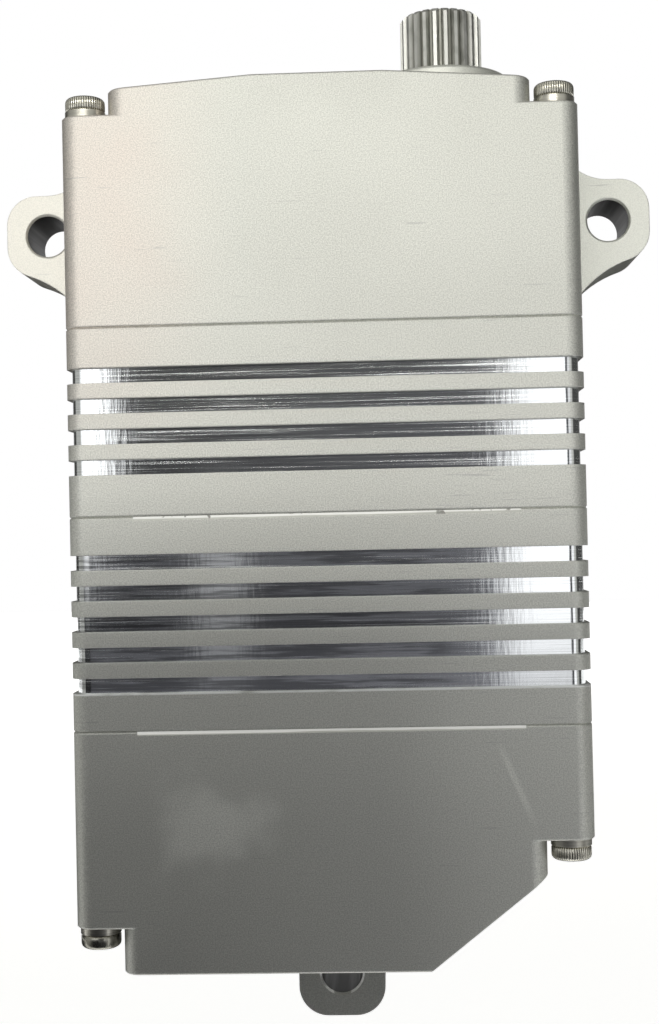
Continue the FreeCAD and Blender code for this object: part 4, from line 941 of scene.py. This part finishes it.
middle_strip = times(tree, fade(tree, z, -84, -76), fade(tree, z, -64, -69, 0.0, 0.07))
in_middle = times(tree, fade(tree, x, -88, -76), fade(tree, x, 34, 20))
strips = times(tree, plus(tree, low_strip, middle_strip), in_middle)
dark = plus(tree, fade(tree, x, -75, 15, 0.02, 0.07), strips)
level = plus(tree, glow, dark)
cooler = plus(tree, glow, times(tree, dark, 1.1))
emission = node(tree, "CombineColor", {0: level, 1: level, 2: cooler}).outputs[0]
tree.links.new(emission, shader.inputs["Emission Color"])
flat_sheet("glowing_card", upright(CARD_Y, CARD_LEFT, CARD_RIGHT, CARD_BOTTOM, CARD_TOP), "glowing card",
           seen=False)
print("card stands at y =", CARD_Y)

# %% [markdown]
# ## A lamp over the edge of the card
# The front is bright above and falls to dark grey below, fastest in the middle. A lamp that shines over
# the edge of a nearby card gives just that: points high on the case see the whole lamp, and points low
# down see none of it. The lamp is a wide, low sheet that faces the part.

# %% The lamp
LAMP_MIDDLE = Vector((-106.5, -524.3, 123.8)) * MM
LAMP_AIM = Vector((-17.0, -17.9, -60.0)) * MM
HALF_WIDE_MM = 200
HALF_TALL_MM = 29.2
ALL_CORNERS = ((-1, -1), (1, -1), (1, 1), (-1, 1))
start_finish("lamp", Base_Color=grey(0.0), Emission_Color=(1.0, 0.985, 0.935, 1), Emission_Strength=10.7)
lamp_faces = (LAMP_AIM - LAMP_MIDDLE).normalized()
lamp_across = Vector((HALF_WIDE_MM * MM, 0, 0))
lamp_up = lamp_faces.cross(Vector((1, 0, 0))).normalized() * HALF_TALL_MM * MM
lamp_corners = [LAMP_MIDDLE + right * lamp_across + up * lamp_up for right, up in ALL_CORNERS]
flat_sheet("lamp_sheet", lamp_corners, "lamp", seen=False)
print("lamp is at", [round(value, 3) for value in LAMP_MIDDLE])

# %% [markdown]
# ## Dark flags
# Photographers put a dark sheet, called a flag, where a shiny thing would mirror too much white. One lies
# below the part for the lower screw heads. Two small ones stand behind the side lugs and darken their
# undersides. Only reflections see the flags: they cast no shadow on the floor.

# %% Dark flags
FLAG_REACH = 300 * MM
SIDE_FLAG_Y = 30 * MM
SIDE_FLAG_WIDE = 30 * MM
SIDE_FLAG_BOTTOM = -80 * MM
SIDE_FLAG_TOP = -20 * MM
start_finish("dark flag", Base_Color=grey(0.05), Roughness=0.9)


def dark_flag(name, corners):
    flag = flat_sheet(name, corners, "dark flag", seen=False)
    flag.visible_diffuse = False
    flag.visible_shadow = False


below = cad_box[0][2] - 15 * MM
dark_flag("flag_below", lying(below, -FLAG_REACH, FLAG_REACH, 0, FLAG_REACH))
for label, near, outward in (("left", -54 * MM, -1), ("right", 18.5 * MM, 1)):
    far = near + outward * SIDE_FLAG_WIDE
    dark_flag(f"flag_{label}", upright(SIDE_FLAG_Y, near, far, SIDE_FLAG_BOTTOM, SIDE_FLAG_TOP))
print("flags lie at z =", round(below, 4), "and behind the side lugs")

# %% [markdown]
# ## Floor
# A pale sheet lies below the part and takes its soft shadow. It stops just in front of the part, so that
# the dark card shows in the metal there. To the camera and to mirrors the sheet glows a little, which
# makes it as white as the backdrop, and the shadow stays. The glow grows towards the rims of the sheet,
# so that no rim shows.

# %% Floor
FLOOR_Z = cad_box[0][2] - 60 * MM
FLOOR_SIDE = 1.5
FLOOR_FRONT = -0.05
FLOOR_BACK = 2.5
MIDDLE_GLOW = 0.68
tree, shader = start_finish("pale floor", Emission_Color=grey(1.0), Roughness=0.9)
place = object_place(tree)
y = split(tree, place)[1]
tone = remap(tree, noise(tree, place, 6.0), 0.3, 0.7)
tree.links.new(blend_colours(tree, tone, grey(0.86), grey(0.9)), shader.inputs["Base Color"])
from_middle = measure(tree, "DISTANCE", place, (0, 0, FLOOR_Z))
near_front = remap(tree, y, 0.06, -0.04, MIDDLE_GLOW, 1.0)
near_rim = remap(tree, from_middle, 0.5, 1.2, MIDDLE_GLOW, 1.0)
seen = larger(tree, *ray_masks(tree))
glow = times(tree, seen, larger(tree, near_front, near_rim))
tree.links.new(glow, shader.inputs["Emission Strength"])
flat_sheet("pale_floor", lying(FLOOR_Z, -FLOOR_SIDE, FLOOR_SIDE, FLOOR_FRONT, FLOOR_BACK), "pale floor")
print("floor at", round(FLOOR_Z, 4))

# %% [markdown]
# ## Camera
# The camera stands about 21 cm in front of the case, a little right of the middle and turned slightly to
# the left. It is aimed at a point and then rolled about its own axis by a little over one degree.

# %% Camera
EYE = Vector((-9.4, -229.0, -65.8)) * MM
AIM = Vector((-17.3, -17.5, -63.12)) * MM
ROLL = math.radians(-1.25)
lens = bpy.data.cameras.new("camera")
lens.sensor_width = 36.0
lens.lens = 54.5
lens.clip_start = 0.01
camera = bpy.data.objects.new("camera", lens)
bpy.context.scene.collection.objects.link(camera)
camera.location = EYE
camera.rotation_mode = "QUATERNION"
camera.rotation_quaternion = (AIM - EYE).to_track_quat("-Z", "Y") @ Quaternion((0, 0, 1), ROLL)
bpy.context.scene.camera = camera
bpy.context.scene.view_settings.view_transform = "Standard"
print("camera at", [round(value, 4) for value in EYE])
